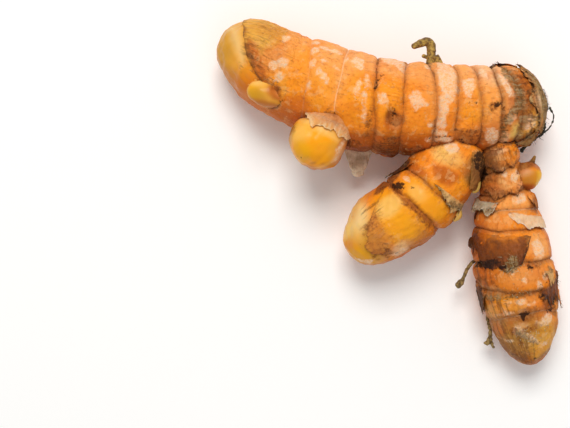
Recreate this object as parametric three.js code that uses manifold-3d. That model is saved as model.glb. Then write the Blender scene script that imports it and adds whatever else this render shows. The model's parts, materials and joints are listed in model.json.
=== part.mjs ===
// A fresh turmeric root, the rhizome of Curcuma longa, lying on its side.
//
// One swollen mother rhizome carries two fingers, a round knob and a few small buds. All of that
// grew as one body, so it is one mesh. The dry things on it are leaves and a stem of their own:
// papery scale leaves, each attached along a ring of the skin, and one dried shoot.
//
// Millimetres, +Z up. The rhizome lies on three low points cut flat at z = 0.

import * as THREE from 'three'
import { mergeVertices } from 'three/addons/utils/BufferGeometryUtils.js'
import Module from 'manifold-3d'

const wasm = await Module()
wasm.setup()

// ---------------------------------------------------------------- driving dimensions

// The limbs' axes are drawn in a plan with its own zero. This moves the middle of the finished
// root's footprint to the origin.
const PLAN_SHIFT = [-0.346, -0.175, 0]

const SEGMENT_BULGE = 0.5       // how far the skin swells between two rings
const RING_DEPTH = 0.4          // how deep the skin is drawn in at a ring
const RING_HALF_WIDTH = 0.55    // half width of that groove
const LEAF_THICKNESS = 0.6
const LEAF_GAP = 0.40           // air between a dry scale leaf and the fullest skin under it
const CLEARANCE = 0.32          // least air kept between separate pieces
const GROUND_SPAN = 140         // side of the block that stands for the table, wider than the root
const GROUND_DEPTH = 20

// Each limb: `path` holds points of its axis with the skin's radius there, [x, y, z, radius],
// from where it grows out to its tip. `ends` are the lengths over which its two ends round off.
// `rings` are leaf scars: [distance along the axis, lean, arch], where lean moves the ring
// forward on the side that faces +turn and arch moves it forward on the top.
// `swellings` are soft local rises or dents: [distance, turn in degrees, spread, height].
const MOTHER = {
  path: [
    [43.6, 23.9, 9.3, 9.5], [38.8, 23.4, 9.8, 10.3], [30.6, 22.5, 11.7, 11.2],
    [16.8, 21.9, 14.4, 11.5], [3.3, 22.3, 15.2, 12.3], [-10.1, 24.5, 14.6, 12.8],
    [-23.4, 29.9, 12.4, 11.8], [-30.1, 33.2, 11.2, 11.3], [-36.5, 36.9, 10.6, 10.8],
    [-41.5, 38.8, 10.6, 10.5], [-45.9, 40.1, 10.6, 10.4],
  ],
  ends: [9, 14],
  rings: [
    [8.0, 0.4, -0.9], [13.6, 0.4, -2.2], [15.8, 0.1, 1.4], [22.2, -0.3, 0], [27.4, -0.4, 0.5],
    [33.8, 0.2, -0.6], [40.1, 0, 1.2], [48.2, 1.2, -0.3], [57.3, 2.4, -0.4], [67.0, 3.4, -1.6],
  ],
  swellings: [
    [25.2, -44, 3.0, 1.1], [43.4, -14, 1.3, -0.9], [42.6, -30, 2.0, 0.8], [57.5, -22, 3.2, 0.5],
    [79, 62, 13, -0.9], [4, 30, 5, -0.6], [46, 120, 6, 0.5], [20, -130, 5, 0.5],
  ],
  sides: 28,
  phase: 0.4,
}

const FINGER_1 = {
  path: [
    [20.6, 15.2, 14, 7.5], [14.9, 6.3, 14.5, 9.1], [10.1, -0.4, 14, 9.8], [4.8, -5.3, 13.4, 9.8],
    [-0.8, -9.6, 12.6, 9.5], [-5.7, -12.9, 12, 8.9], [-11.3, -15.3, 11.6, 8.7],
  ],
  ends: [4, 12],
  rings: [[9.4, -0.8, 0], [16.7, -0.3, 0.1], [23.7, 1.1, -0.4]],
  swellings: [
    [8, -66, 5, 0.6], [13, -10, 3, -0.5], [20, -78, 2.5, 0.8], [33, -72, 7, -1.2],
    [18, 100, 6, -1.0],
  ],
  sides: 22,
  phase: 2.1,
}

const FINGER_2 = {
  path: [
    [28.8, 14.4, 13, 4.9], [30.4, 7.1, 13.6, 5.3], [31.4, 1.7, 13.2, 6.0], [32.0, -3.1, 12.4, 7.3],
    [32.9, -9.9, 11.4, 9.1], [33.9, -16.4, 10.9, 10.1], [35.0, -24.0, 10.6, 10.6],
    [36.5, -30.3, 10.2, 10.1], [37.9, -36.3, 9.7, 8.5], [38.9, -41.8, 9.3, 6.1],
    [39.5, -45.4, 9.0, 3.6], [39.8, -47.3, 9.0, 1.4],
  ],
  ends: [3, 1.2],
  rings: [
    [8.6, 0.9, 0], [14.2, 0.6, 0.2], [19.0, -0.6, 0], [24.6, -1.1, -0.2], [33.8, -0.9, -0.4],
    [39.4, -1.4, 2.4], [49.0, -0.8, -1.8],
  ],
  swellings: [
    [18, -60, 3, 0.5], [28, 120, 4, 0.6], [45, -52, 5, -0.9], [42, 98, 5, -0.9],
    [37, 160, 5, 0.4],
  ],
  sides: 22,
  phase: 4.4,
}

const KNOB = {
  path: [
    [-12.9, 22.8, 16, 5.4], [-15.1, 19.2, 18, 6.3], [-17.9, 14.8, 19.5, 7.1],
    [-20.7, 10.6, 20, 7.2], [-23.1, 7.2, 20, 7.1],
  ],
  ends: [2, 6.8],
  rings: [[9.2, 1.0, -1.4]],
  swellings: [[5.5, 0, 3.2, 0.8], [5.5, -50, 3.2, 0.6], [14, -30, 1.2, -0.3]],
  sides: 18,
  phase: 1.3,
}

// Small outgrowths fused to the skin, as [x, y, z, radius] from the root of each to its tip.
const BUDS = {
  oval_bud: [[-28.4, 24.9, 17.2, 3.0], [-31.5, 25.6, 19.4, 3.5], [-34.6, 26.4, 19.2, 3.3],
    [-37.2, 26.9, 17.8, 2.2]],
  under_bulge: [[0.3, 17, 11, 4.6], [0.5, 12.6, 10, 4.4], [0.6, 9.4, 9, 3.2]],
  olive_bud: [[20.4, 6.5, 14.5, 3.4], [22.6, 2.4, 14.6, 2.5], [23.8, -0.5, 14.5, 1.2]],
  horn_bud: [[13.0, -3.6, 14.6, 3.9], [17.4, -5.6, 14.3, 2.5], [20.0, -6.7, 14.0, 1.8]],
  side_bud: [[32.4, 2.8, 14, 2.6], [36.6, 4.0, 15.5, 3.7], [39.0, 4.3, 15.4, 3.6],
    [41.0, 4.2, 15.1, 2.4]],
  side_thorn: [[38.0, 6.2, 15.6, 1.3], [38.7, 7.9, 15.7, 0.8], [39.4, 9.6, 15.8, 0.35]],
  shoulder_bud: [[34.0, -2.4, 12.4, 3.6], [38.4, -3.9, 12.6, 3.0], [40.4, -4.6, 12.6, 2.0]],
  dark_bud: [[25.8, -13.4, 11, 2.2], [23.2, -14.3, 11, 1.9], [22.2, -14.7, 11, 1.1]],
}
const BUD_SIDES = 9

// Thin dry roots, fused to the skin where they leave it.
const ROOTLETS = {
  club_root: [[26.5, -17.6, 9.4, 0.7], [23.7, -19.2, 9.0, 0.5], [22.4, -20.8, 8.6, 0.45],
    [21.2, -23.8, 8.0, 0.5], [20.4, -25.0, 7.6, 0.95], [19.4, -26.1, 7.2, 0.8]],
  forked_root: [[30.5, -31.4, 9.2, 0.8], [27.9, -33.4, 8.8, 0.55], [28.5, -37.8, 8.2, 0.45],
    [28.5, -40.6, 7.6, 0.7], [27.2, -42.0, 7.2, 0.6]],
  fork_tip: [[28.5, -40.0, 7.6, 0.45], [29.2, -41.8, 7.2, 0.45], [29.8, -43.0, 6.8, 0.4]],
  crown_root: [[43.0, 17.6, 11.6, 0.6], [40.4, 15.9, 12.0, 0.45], [38.0, 13.9, 12.4, 0.45],
    [36.1, 11.9, 13.0, 0.45], [35.9, 10.1, 13.3, 0.6]],
}
const ROOTLET_SIDES = 5

// Dry scale leaves. Each is attached along a line round its limb and lies over the skin towards
// the limb's tip: `base` is that line's distance along the limb and `lean` how much further it is
// at the +turn edge, `turn` the middle of the leaf in degrees round from the top, `half` its half
// width in degrees, `reach` its length, `blunt` the power of its outline (1 is a point, 4 is
// square), `peak` where across it the longest point is, `lift` how far the free edge stands off
// and `frill` how much that edge waves.
const LEAVES = {
  tip_scale: { on: 'mother', base: 72, lean: 3, turn: 37, half: 73, reach: 16.3, blunt: 3.4,
    peak: 0, lift: 0.05, frill: 0.15, colour: 0xc99a4e, grid: [14, 7] },
  crown_scale: { on: 'mother', base: 1.9, lean: 0.5, turn: 18, half: 84, reach: 6.6, blunt: 5,
    peak: 0, lift: 0.1, frill: 0.7, colour: 0x8a7a4f, grid: [16, 5] },
  olive_scale: { on: 'finger_1', base: 3.4, lean: 0, turn: -62, half: 36, reach: 8.6, blunt: 1.7,
    peak: -0.1, lift: 0.2, frill: 0.2, colour: 0x7b6420, grid: [8, 5] },
  finger_1_collar: { on: 'finger_1', base: 15.2, lean: 0, turn: -52, half: 52, reach: 3.2, blunt: 3,
    peak: -0.5, lift: 0.25, frill: 0.35, colour: 0x8f7865, grid: [12, 2] },
  finger_1_tip_scale: { on: 'finger_1', base: 24.2, lean: 0.6, turn: -15, half: 72, reach: 15.8,
    blunt: 1.5, peak: 0.03, lift: 0.05, frill: 0.2, colour: 0xb8682a, grid: [12, 7] },
  finger_1_back_scale: { on: 'finger_1', base: 13.8, lean: 0.6, turn: 84, half: 34, reach: 10,
    blunt: 2, peak: -0.2, lift: 0.05, frill: 0.15, colour: 0x3a2216, grid: [8, 5] },
  neck_scale_1: { on: 'finger_2', base: 3.6, lean: 0, turn: 8, half: 56, reach: 5.2, blunt: 3,
    peak: 0.1, lift: 0.25, frill: 0.4, colour: 0x8a5a2c, grid: [10, 3] },
  neck_scale_2: { on: 'finger_2', base: 9.8, lean: -0.6, turn: 16, half: 62, reach: 5.2, blunt: 3,
    peak: 0.1, lift: 0.2, frill: 0.35, colour: 0x9a6130, grid: [10, 3] },
  torn_scale: { on: 'finger_2', base: 15.9, lean: -0.3, turn: 64, half: 40, reach: 3.2, blunt: 4,
    peak: 0, lift: 0.7, frill: 0.5, colour: 0xa39a7c, grid: [10, 3] },
  pale_scale: { on: 'finger_2', base: 20.9, lean: -1.9, turn: -42, half: 46, reach: 3.9, blunt: 3,
    peak: -0.2, lift: 0.1, frill: 0.3, colour: 0xd9a87c, grid: [9, 3] },
  brown_scale: { on: 'finger_2', base: 25.0, lean: -1.3, turn: 30, half: 53, reach: 10.2, blunt: 2.5,
    peak: -0.05, lift: 0.25, frill: 0.3, colour: 0x7c4521, grid: [11, 6] },
  edge_scale: { on: 'finger_2', base: 38.6, lean: -1.0, turn: 94, half: 32, reach: 7.4, blunt: 1.7,
    peak: -0.2, lift: 0.3, frill: 0.2, colour: 0x4e3320, grid: [7, 4] },
  side_scale: { on: 'finger_2', base: 40.0, lean: 2.6, turn: -50, half: 30, reach: 6.8, blunt: 1.8,
    peak: 0.2, lift: 0.1, frill: 0.3, colour: 0x6b3216, grid: [8, 4] },
}

// Flat dry blades that stand free, as [x, y, z, half width] from root to tip.
const HANGING_SCALE = [[-8.2, 14.4, 8.8, 3.9], [-8.1, 11.0, 8.6, 3.7], [-8.0, 7.2, 8.3, 2.2],
  [-7.9, 4.2, 8.1, 1.2]]
const SHOOT = [[11.3, 32.0, 15.0, 1.3], [11.6, 36.3, 15.2, 1.05], [11.8, 39.0, 15.3, 1.0],
  [10.7, 40.2, 15.5, 0.95], [8.6, 39.7, 15.6, 0.8], [6.3, 38.6, 15.6, 0.45]]
const SHOOT_LOBE = [[11.4, 35.4, 15.1, 0.5], [10.2, 36.1, 15.1, 0.55], [9.2, 36.4, 15.1, 0.4]]
const SHOOT_FLAKE = [[13.1, 32.2, 14.8, 2.3], [13.4, 34.4, 14.9, 1.5], [13.5, 36.8, 15.0, 0.3]]
const BLADE_HALF_THICKNESS = 0.35

// ---------------------------------------------------------------- one limb as a surface

const radians = THREE.MathUtils.degToRad

/** An axis with a radius, seen as a surface of distance along (mm) and turn round (radians). */
class Limb {
  constructor(shape) {
    const steps = 24 * (shape.path.length - 1)
    const centres = shape.path.map(([x, y, z]) => new THREE.Vector3(x, y, z))
    const radii = shape.path.map((point) => new THREE.Vector3(point[3], 0, 0))
    const axis = new THREE.CatmullRomCurve3(centres, false, 'catmullrom', 0.5)
    this.points = axis.getPoints(steps)
    this.along = axis.getLengths(steps)
    this.radii = new THREE.CatmullRomCurve3(radii, false, 'catmullrom', 0.5)
      .getPoints(steps).map((point) => point.x)
    this.length = this.along[steps]
    this.ends = shape.ends ?? [shape.path[0][3], shape.path.at(-1)[3]]
    this.rings = shape.rings ?? []
    this.swellings = shape.swellings ?? []
    this.phase = shape.phase ?? 0
    this.rough = shape.rings ? 1 : 0
    this.halfThickness = shape.halfThickness
  }

  /** Centre, radius and the two directions across the axis at a distance along it. */
  frame(distance) {
    const d = THREE.MathUtils.clamp(distance, 0, this.length)
    let i = this.along.findIndex((value) => value >= d)
    i = Math.max(1, i)
    const part = (d - this.along[i - 1]) / (this.along[i] - this.along[i - 1])
    const centre = this.points[i - 1].clone().lerp(this.points[i], part)
    const before = this.points[Math.max(0, i - 2)]
    const after = this.points[Math.min(this.points.length - 1, i + 1)]
    const forward = after.clone().sub(before).normalize()
    const top = new THREE.Vector3(0, 0, 1)
    top.addScaledVector(forward, -top.dot(forward)).normalize()
    const side = forward.clone().cross(top)
    const radius = THREE.MathUtils.lerp(this.radii[i - 1], this.radii[i], part)
    return { centre, radius, top, side }
  }

  /** 1 along the limb, falling as a quarter ellipse to 0 at each end. */
  rounding(distance) {
    const fromStart = THREE.MathUtils.clamp((this.ends[0] - distance) / this.ends[0], 0, 1)
    const last = this.ends[1]
    const fromEnd = THREE.MathUtils.clamp((distance - this.length + last) / last, 0, 1)
    return Math.sqrt(Math.max(0, (1 - fromStart ** 2) * (1 - fromEnd ** 2)))
  }

  /** Distance along the limb of ring k on a given side; rings 0 and n + 1 are the two ends. */
  ringLine(k, turn) {
    if (k === 0) return 0
    if (k > this.rings.length) return this.length
    const [at, lean, arch] = this.rings[k - 1]
    const wander = 0.25 * Math.sin(3 * turn + 1.7 * k) + 0.12 * Math.sin(7 * turn + k)
    return at + lean * Math.sin(turn) + arch * Math.cos(turn) + wander
  }

  /** Wide shallow lumps, so that the skin isn't a clean cone. */
  lumps(distance, turn) {
    const slow = 0.28 * Math.sin(distance / 6.3 + this.phase) * Math.cos(2 * turn + this.phase)
    const quick = 0.16 * Math.sin(distance / 3.1 + 2 * this.phase) * Math.cos(3 * turn - this.phase)
    return slow + quick
  }

  /** The named rises and dents, each a bell curve over the skin. */
  swelling(distance, turn, radius) {
    let height = 0
    for (const [at, angle, spread, rise] of this.swellings) {
      const round = Math.atan2(Math.sin(turn - radians(angle)), Math.cos(turn - radians(angle)))
      const away = ((distance - at) ** 2 + (radius * round) ** 2) / spread ** 2
      height += rise * Math.exp(-away)
    }
    return height
  }

  /** Swelling between two rings and groove at each, at a fraction of the way between rings. */
  segmentRelief(distance, turn) {
    let k = 0
    while (k < this.rings.length && this.ringLine(k + 1, turn) <= distance) k += 1
    const from = this.ringLine(k, turn)
    const to = this.ringLine(k + 1, turn)
    const fraction = THREE.MathUtils.clamp((distance - from) / (to - from), 0, 1)
    const bulge = SEGMENT_BULGE * Math.sin(Math.PI * fraction) ** 0.6
    const nearest = Math.min(k === 0 ? Infinity : distance - from,
      k === this.rings.length ? Infinity : to - distance)
    return bulge - RING_DEPTH * Math.exp(-((nearest / RING_HALF_WIDTH) ** 2))
  }

  /** A point of the skin. `offset` moves it out; `smooth` bridges the grooves, as a leaf does. */
  point(distance, turn, { offset = 0, smooth = false } = {}) {
    const { centre, radius, top, side } = this.frame(distance)
    let relief = 0
    if (this.rough) {
      relief = this.lumps(distance, turn) + this.swelling(distance, turn, radius)
      relief += smooth ? SEGMENT_BULGE : this.segmentRelief(distance, turn)
    }
    const reach = (radius + relief) * this.rounding(distance) + offset
    const up = this.halfThickness ? this.halfThickness + offset : reach
    return centre.addScaledVector(top, up * Math.cos(turn)).addScaledVector(side, reach * Math.sin(turn))
  }

  /** The bridged skin's outward direction, from two short steps along it. */
  outward(distance, turn) {
    const step = 0.2
    const here = (d, t) => this.point(d, t, { smooth: true })
    const alongStep = here(distance + step, turn).sub(here(distance - step, turn))
    const roundStep = here(distance, turn + 0.02).sub(here(distance, turn - 0.02))
    return roundStep.cross(alongStep).normalize()
  }
}

// ---------------------------------------------------------------- closed meshes

/** A closed grid of rows, each a ring of points, with a pole at each end. */
function closeRings(rows, firstPole, lastPole) {
  const sides = rows[0].length
  const points = [firstPole, ...rows.flat(), lastPole]
  const last = points.length - 1
  const index = []
  for (let j = 0; j < sides; j += 1) {
    const next = (j + 1) % sides
    index.push(0, 1 + next, 1 + j)
    for (let i = 0; i + 1 < rows.length; i += 1) {
      const a = 1 + i * sides
      const b = a + sides
      index.push(a + j, a + next, b + next, a + j, b + next, b + j)
    }
    const end = 1 + (rows.length - 1) * sides
    index.push(last, end + j, end + next)
  }
  return toGeometry(points, index)
}

function toGeometry(points, index) {
  const geometry = new THREE.BufferGeometry().setFromPoints(points)
  geometry.setIndex(index)
  return geometry
}

/** A solid from a closed mesh, turned right side out if its volume comes out negative. */
function toSolid(geometry) {
  const welded = mergeVertices(geometry, 1e-5)
  const vertProperties = Float32Array.from(welded.attributes.position.array)
  const triVerts = Uint32Array.from(welded.index.array)
  const solid = new wasm.Manifold(new wasm.Mesh({ numProp: 3, vertProperties, triVerts }))
  if (solid.volume() > 0) return solid
  for (let i = 0; i < triVerts.length; i += 3) {
    [triVerts[i], triVerts[i + 1]] = [triVerts[i + 1], triVerts[i]]
  }
  return new wasm.Manifold(new wasm.Mesh({ numProp: 3, vertProperties, triVerts }))
}

function toMesh(name, solid, colour, roughness) {
  const { vertProperties, triVerts } = solid.getMesh()
  const geometry = new THREE.BufferGeometry()
  geometry.setAttribute('position', new THREE.BufferAttribute(Float32Array.from(vertProperties), 3))
  geometry.setIndex(new THREE.BufferAttribute(Uint32Array.from(triVerts), 1))
  geometry.computeVertexNormals()
  const mesh = new THREE.Mesh(geometry,
    new THREE.MeshStandardMaterial({ color: colour, roughness, metalness: 0 }))
  mesh.name = name
  return mesh
}

/** Distances along a limb for its rows: close together at each ring and over the round ends. */
function rowPlaces(limb) {
  const between = [0, 0.13, 0.37, 0.63, 0.87]
  const last = limb.rings.length
  const places = []
  for (let k = 0; k <= last; k += 1) {
    for (const fraction of between) places.push([k, fraction])
  }
  const start = [0.02, 0.08, 0.2, 0.4, 0.7].map((fraction) => [0, fraction])
  const end = [0, 0.12, 0.3, 0.5, 0.68, 0.82, 0.92, 0.98].map((fraction) => [last, fraction])
  return [...start, ...places.filter(([k]) => k > 0 && k < last), ...end]
}

/** The whole limb as one solid, its rows following the rings. `offset` grows it evenly. */
function limbSolid(limb, sides, offset = 0) {
  const rows = rowPlaces(limb).map(([k, fraction]) => {
    const row = []
    for (let j = 0; j < sides; j += 1) {
      const turn = (2 * Math.PI * j) / sides
      const from = limb.ringLine(k, turn)
      const distance = from + fraction * (limb.ringLine(k + 1, turn) - from)
      row.push(limb.point(distance, turn, { offset }))
    }
    return row
  })
  const { centre: first } = limb.frame(0)
  const { centre: last } = limb.frame(limb.length)
  const ahead = last.clone().sub(limb.frame(limb.length - 1).centre).normalize()
  const behind = first.clone().sub(limb.frame(1).centre).normalize()
  return toSolid(closeRings(rows, first.addScaledVector(behind, offset),
    last.addScaledVector(ahead, offset)))
}

/** A smooth tapering body along a short path, such as a bud or a root. */
function taperSolid(path, sides, { offset = 0, halfThickness, rowsPerSpan = 2 } = {}) {
  const limb = new Limb({ path, halfThickness })
  const count = rowsPerSpan * (path.length - 1) + 3
  const rows = []
  for (let i = 0; i <= count; i += 1) {
    const spread = 0.5 - 0.5 * Math.cos((Math.PI * (i + 0.6)) / (count + 1.2))
    const distance = limb.length * spread
    const turns = Array.from({ length: sides }, (_, j) => (2 * Math.PI * j) / sides)
    rows.push(turns.map((turn) => limb.point(distance, turn, { offset })))
  }
  const { centre: first } = limb.frame(0)
  const { centre: last } = limb.frame(limb.length)
  const ahead = last.clone().sub(limb.frame(limb.length * 0.95).centre).normalize()
  const behind = first.clone().sub(limb.frame(limb.length * 0.05).centre).normalize()
  return toSolid(closeRings(rows, first.addScaledVector(behind, offset),
    last.addScaledVector(ahead, offset)))
}

/** A dry scale leaf: a slab of even thickness over a patch of the skin, grown by `offset`. */
function leafSolid(limb, leaf, offset = 0) {
  const [across, alongLeaf] = leaf.grid
  const half = radians(leaf.half) + offset / limb.frame(leaf.base).radius
  const under = []
  const over = []
  for (let j = 0; j <= across; j += 1) {
    const b = -1 + (2 * j) / across
    const fromPeak = b < leaf.peak ? (leaf.peak - b) / (1 + leaf.peak) : (b - leaf.peak) / (1 - leaf.peak)
    const outline = 0.12 + 0.88 * (1 - fromPeak ** leaf.blunt)
    const wave = leaf.frill * (Math.sin(9 * b + 2 * leaf.base) + 0.6 * Math.sin(17 * b + leaf.base))
    for (let i = 0; i <= alongLeaf; i += 1) {
      const a = i / alongLeaf
      const turn = radians(leaf.turn) + half * b
      const length = leaf.reach * outline + wave + 2 * offset
      const distance = leaf.base - offset + leaf.lean * b + a * length
      const skin = limb.point(distance, turn, { smooth: true })
      const out = limb.outward(distance, turn)
      const stand = LEAF_GAP + a * a * (leaf.lift + 0.4 * leaf.frill * (1 + Math.sin(11 * b)))
      under.push(skin.clone().addScaledVector(out, stand - offset))
      over.push(skin.clone().addScaledVector(out, stand + LEAF_THICKNESS + offset))
    }
  }
  const width = alongLeaf + 1
  const shift = under.length
  const index = []
  for (let j = 0; j < across; j += 1) {
    for (let i = 0; i < alongLeaf; i += 1) {
      const a = j * width + i
      const b = a + width
      index.push(a, b + 1, a + 1, a, b, b + 1)
      index.push(shift + a, shift + a + 1, shift + b + 1, shift + a, shift + b + 1, shift + b)
    }
  }
  const wall = (p, q) => index.push(p, q, shift + q, p, shift + q, shift + p)
  for (let j = 0; j < across; j += 1) {
    wall((j + 1) * width, j * width)
    wall(j * width + alongLeaf, (j + 1) * width + alongLeaf)
  }
  for (let i = 0; i < alongLeaf; i += 1) {
    wall(i, i + 1)
    wall(across * width + i + 1, across * width + i)
  }
  return toSolid(toGeometry([...under, ...over], index))
}

// ---------------------------------------------------------------- putting it together

const limbs = {
  mother: new Limb(MOTHER),
  finger_1: new Limb(FINGER_1),
  finger_2: new Limb(FINGER_2),
  knob: new Limb(KNOB),
}

/** Everything fleshy joined in one body, grown by `offset` to find what would touch it. */
function fleshSolid(offset = 0) {
  const parts = [
    limbSolid(limbs.mother, MOTHER.sides, offset),
    limbSolid(limbs.finger_1, FINGER_1.sides, offset),
    limbSolid(limbs.finger_2, FINGER_2.sides, offset),
    limbSolid(limbs.knob, KNOB.sides, offset),
    ...Object.values(BUDS).map((path) => taperSolid(path, BUD_SIDES, { offset })),
    ...Object.values(ROOTLETS).map((path) => taperSolid(path, ROOTLET_SIDES, { offset, rowsPerSpan: 1 })),
  ]
  return wasm.Manifold.union(parts)
}

/** The biggest piece of a solid, without any loose scrap that a cut left. */
function mainPiece(solid) {
  return solid.decompose().sort((a, b) => b.volume() - a.volume())[0]
}

/** A block under z = 0, wide enough for the whole root. */
function groundBlock() {
  const ground = new THREE.BoxGeometry(GROUND_SPAN, GROUND_SPAN, GROUND_DEPTH)
  ground.deleteAttribute('normal')
  ground.deleteAttribute('uv')
  ground.translate(0, 0, -GROUND_DEPTH / 2)
  return toSolid(ground)
}

const ground = groundBlock()
const grownFlesh = fleshSolid(CLEARANCE)
const root = new THREE.Group()
root.position.set(...PLAN_SHIFT)

const rhizome = mainPiece(fleshSolid().subtract(ground))
root.add(toMesh('rhizome', rhizome, 0xe8934a, 0.45))

/** Adds a dry piece, cut clear of the flesh and of every dry piece before it. */
let filled = grownFlesh
function addDryPiece(name, colour, make) {
  const piece = mainPiece(make(0).subtract(filled))
  root.add(toMesh(name, piece, colour, 0.8))
  filled = filled.add(make(CLEARANCE))
}

for (const [name, leaf] of Object.entries(LEAVES)) {
  addDryPiece(name, leaf.colour, (offset) => leafSolid(limbs[leaf.on], leaf, offset))
}
addDryPiece('hanging_scale', 0x8f7865, (offset) => taperSolid(HANGING_SCALE, 8,
  { offset, halfThickness: BLADE_HALF_THICKNESS }))
addDryPiece('dried_shoot', 0x8a7b3c, (offset) => wasm.Manifold.union([
  taperSolid(SHOOT, 8, { offset }),
  taperSolid(SHOOT_LOBE, 6, { offset }),
  taperSolid(SHOOT_FLAKE, 8, { offset, halfThickness: BLADE_HALF_THICKNESS }),
]))

export default root
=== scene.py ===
# %% [markdown]
# # A fresh turmeric root
#
# Turmeric is a rhizome: a swollen stem that creeps under ground. It has rings where leaves were
# attached, side shoots that swell into fingers, buds that would become fingers next year, and the
# dry papery remains of its scale leaves. Its skin is thin and slightly moist, and the orange flesh
# under it glows through wherever light enters.
#
# This lesson builds the skin as a formula of two parameters, distance along a limb and turn round
# it, and paints it with measures that the same formula gives.

# %% Load the solids
import json
import math

import bpy
import numpy as np
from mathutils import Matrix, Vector

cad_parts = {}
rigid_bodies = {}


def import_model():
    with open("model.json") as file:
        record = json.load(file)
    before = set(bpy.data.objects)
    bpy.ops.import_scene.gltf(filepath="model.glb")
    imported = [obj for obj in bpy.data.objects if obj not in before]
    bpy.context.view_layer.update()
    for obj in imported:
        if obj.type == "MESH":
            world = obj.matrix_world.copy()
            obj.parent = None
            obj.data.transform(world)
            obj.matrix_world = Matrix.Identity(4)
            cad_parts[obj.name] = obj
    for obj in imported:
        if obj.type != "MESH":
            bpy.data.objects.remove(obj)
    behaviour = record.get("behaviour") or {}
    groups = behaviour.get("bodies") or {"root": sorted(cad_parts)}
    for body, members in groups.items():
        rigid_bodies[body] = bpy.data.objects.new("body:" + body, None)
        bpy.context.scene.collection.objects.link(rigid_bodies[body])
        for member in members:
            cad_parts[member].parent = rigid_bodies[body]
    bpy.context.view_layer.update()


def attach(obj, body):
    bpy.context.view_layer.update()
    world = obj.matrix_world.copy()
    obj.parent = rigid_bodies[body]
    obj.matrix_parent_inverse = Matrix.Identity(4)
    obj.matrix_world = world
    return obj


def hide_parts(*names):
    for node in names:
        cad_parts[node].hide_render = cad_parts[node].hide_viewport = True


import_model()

MM = 0.001

# %% [markdown]
# ## One limb as a surface
#
# The mother rhizome, a finger, a bud and a root hair are all the same kind of thing: a crooked
# axis with a thickness that changes along it. Modelling each by hand would hide that. Here an axis
# is a smooth curve through a few points, each with a radius, and a point of the skin is found from
# how far along it is and how far round. Angles are turned from the top, so 0 faces up.

# %% The axis and its frame
PLAN_SHIFT = np.array([-0.346, -0.175, 0.0])    # mm, from the drawing's zero to the footprint's middle
SEGMENT_BULGE = 0.5                              # mm that the skin swells between two rings
WIDE_WANDER, FINE_WANDER = 0.25, 0.12            # mm that a ring strays from its plane
TINY = 1e-9                                      # keeps a division away from zero


def smooth_curve(points, per_span=24):
    """A curve through all points: in each span 0.5 (2 p1 + (p2 - p0) t + (2 p0 - 5 p1 + 4 p2 - p3) t^2
    + (3 p1 - p0 - 3 p2 + p3) t^3), with the end points mirrored to give the outer spans."""
    points = np.asarray(points, float)
    padded = np.vstack([2 * points[0] - points[1], points, 2 * points[-1] - points[-2]])
    t = (np.arange(per_span) / per_span)[None, :, None]
    p0, p1, p2, p3 = (padded[i:len(padded) - 3 + i, None] for i in range(4))
    cubic = 3 * p1 - p0 - 3 * p2 + p3
    curve = 0.5 * (2 * p1 + (p2 - p0) * t + (2 * p0 - 5 * p1 + 4 * p2 - p3) * t ** 2 + cubic * t ** 3)
    return np.vstack([curve.reshape(-1, points.shape[1]), points[-1]])


def unit(vectors):
    """Each vector divided by its length."""
    return vectors / np.maximum(np.linalg.norm(vectors, axis=-1, keepdims=True), TINY)


class Limb:
    """An axis with radii, rings and local swellings. All sizes are in millimetres."""

    def __init__(self, path, ends=None, rings=(), swellings=(), phase=0.0, half_thickness=None):
        curve = smooth_curve(path)
        steps = np.linalg.norm(np.diff(curve[:, :3], axis=0), axis=1)
        self.axis = curve[:, :3] + PLAN_SHIFT
        self.radii = curve[:, 3]
        self.along = np.concatenate([[0.0], np.cumsum(steps)])
        self.length = self.along[-1]
        self.ends = ends or (path[0][3], path[-1][3])
        self.rings = rings
        self.swellings = swellings
        self.phase = phase
        self.half_thickness = half_thickness
        self.forward = unit(np.gradient(self.axis, axis=0))

    def at(self, distance, values):
        """Values known along the axis, read at any distance by straight interpolation."""
        if values.ndim == 1:
            return np.interp(distance, self.along, values)
        return np.stack([np.interp(distance, self.along, column) for column in values.T], axis=-1)

    def across(self, distance):
        """Two directions square to the axis: top = up less its part along the axis, side = forward x top."""
        forward = unit(self.at(distance, self.forward))
        up = np.zeros_like(forward)
        up[..., 2] = 1.0
        top = unit(up - forward * forward[..., 2:3])
        return top, np.cross(forward, top)

    def rounding(self, distance):
        """A quarter ellipse over each end: sqrt(1 - x^2), where x runs from 1 at the very end to 0."""
        start = np.clip((self.ends[0] - distance) / self.ends[0], 0, 1)
        end = np.clip((distance - self.length + self.ends[1]) / self.ends[1], 0, 1)
        return np.sqrt(np.clip((1 - start ** 2) * (1 - end ** 2), 0, 1))

    def ring_line(self, k, turn):
        """Where ring k crosses each side: its place, plus lean x sin, plus arch x cos, plus a wander."""
        if k == 0:
            return np.zeros_like(turn)
        if k > len(self.rings):
            return np.full_like(turn, self.length)
        at, lean, arch = self.rings[k - 1][:3]
        wander = WIDE_WANDER * np.sin(3 * turn + 1.7 * k) + FINE_WANDER * np.sin(7 * turn + k)
        return at + lean * np.sin(turn) + arch * np.cos(turn) + wander


print("a limb knows its axis, its two ends and its rings")

# %% [markdown]
# ## Rings, swellings and lumps
#
# A ring is the scar of a leaf. The skin is drawn in along it, and swells a little between one ring
# and the next, more steeply just past the ring, where the leaf's base once pressed. That relief is
# added to the radius, so the rings are real grooves that catch light from every side. The same
# function also gives each point's distance to its nearest ring, which the skin's colour needs.

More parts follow.
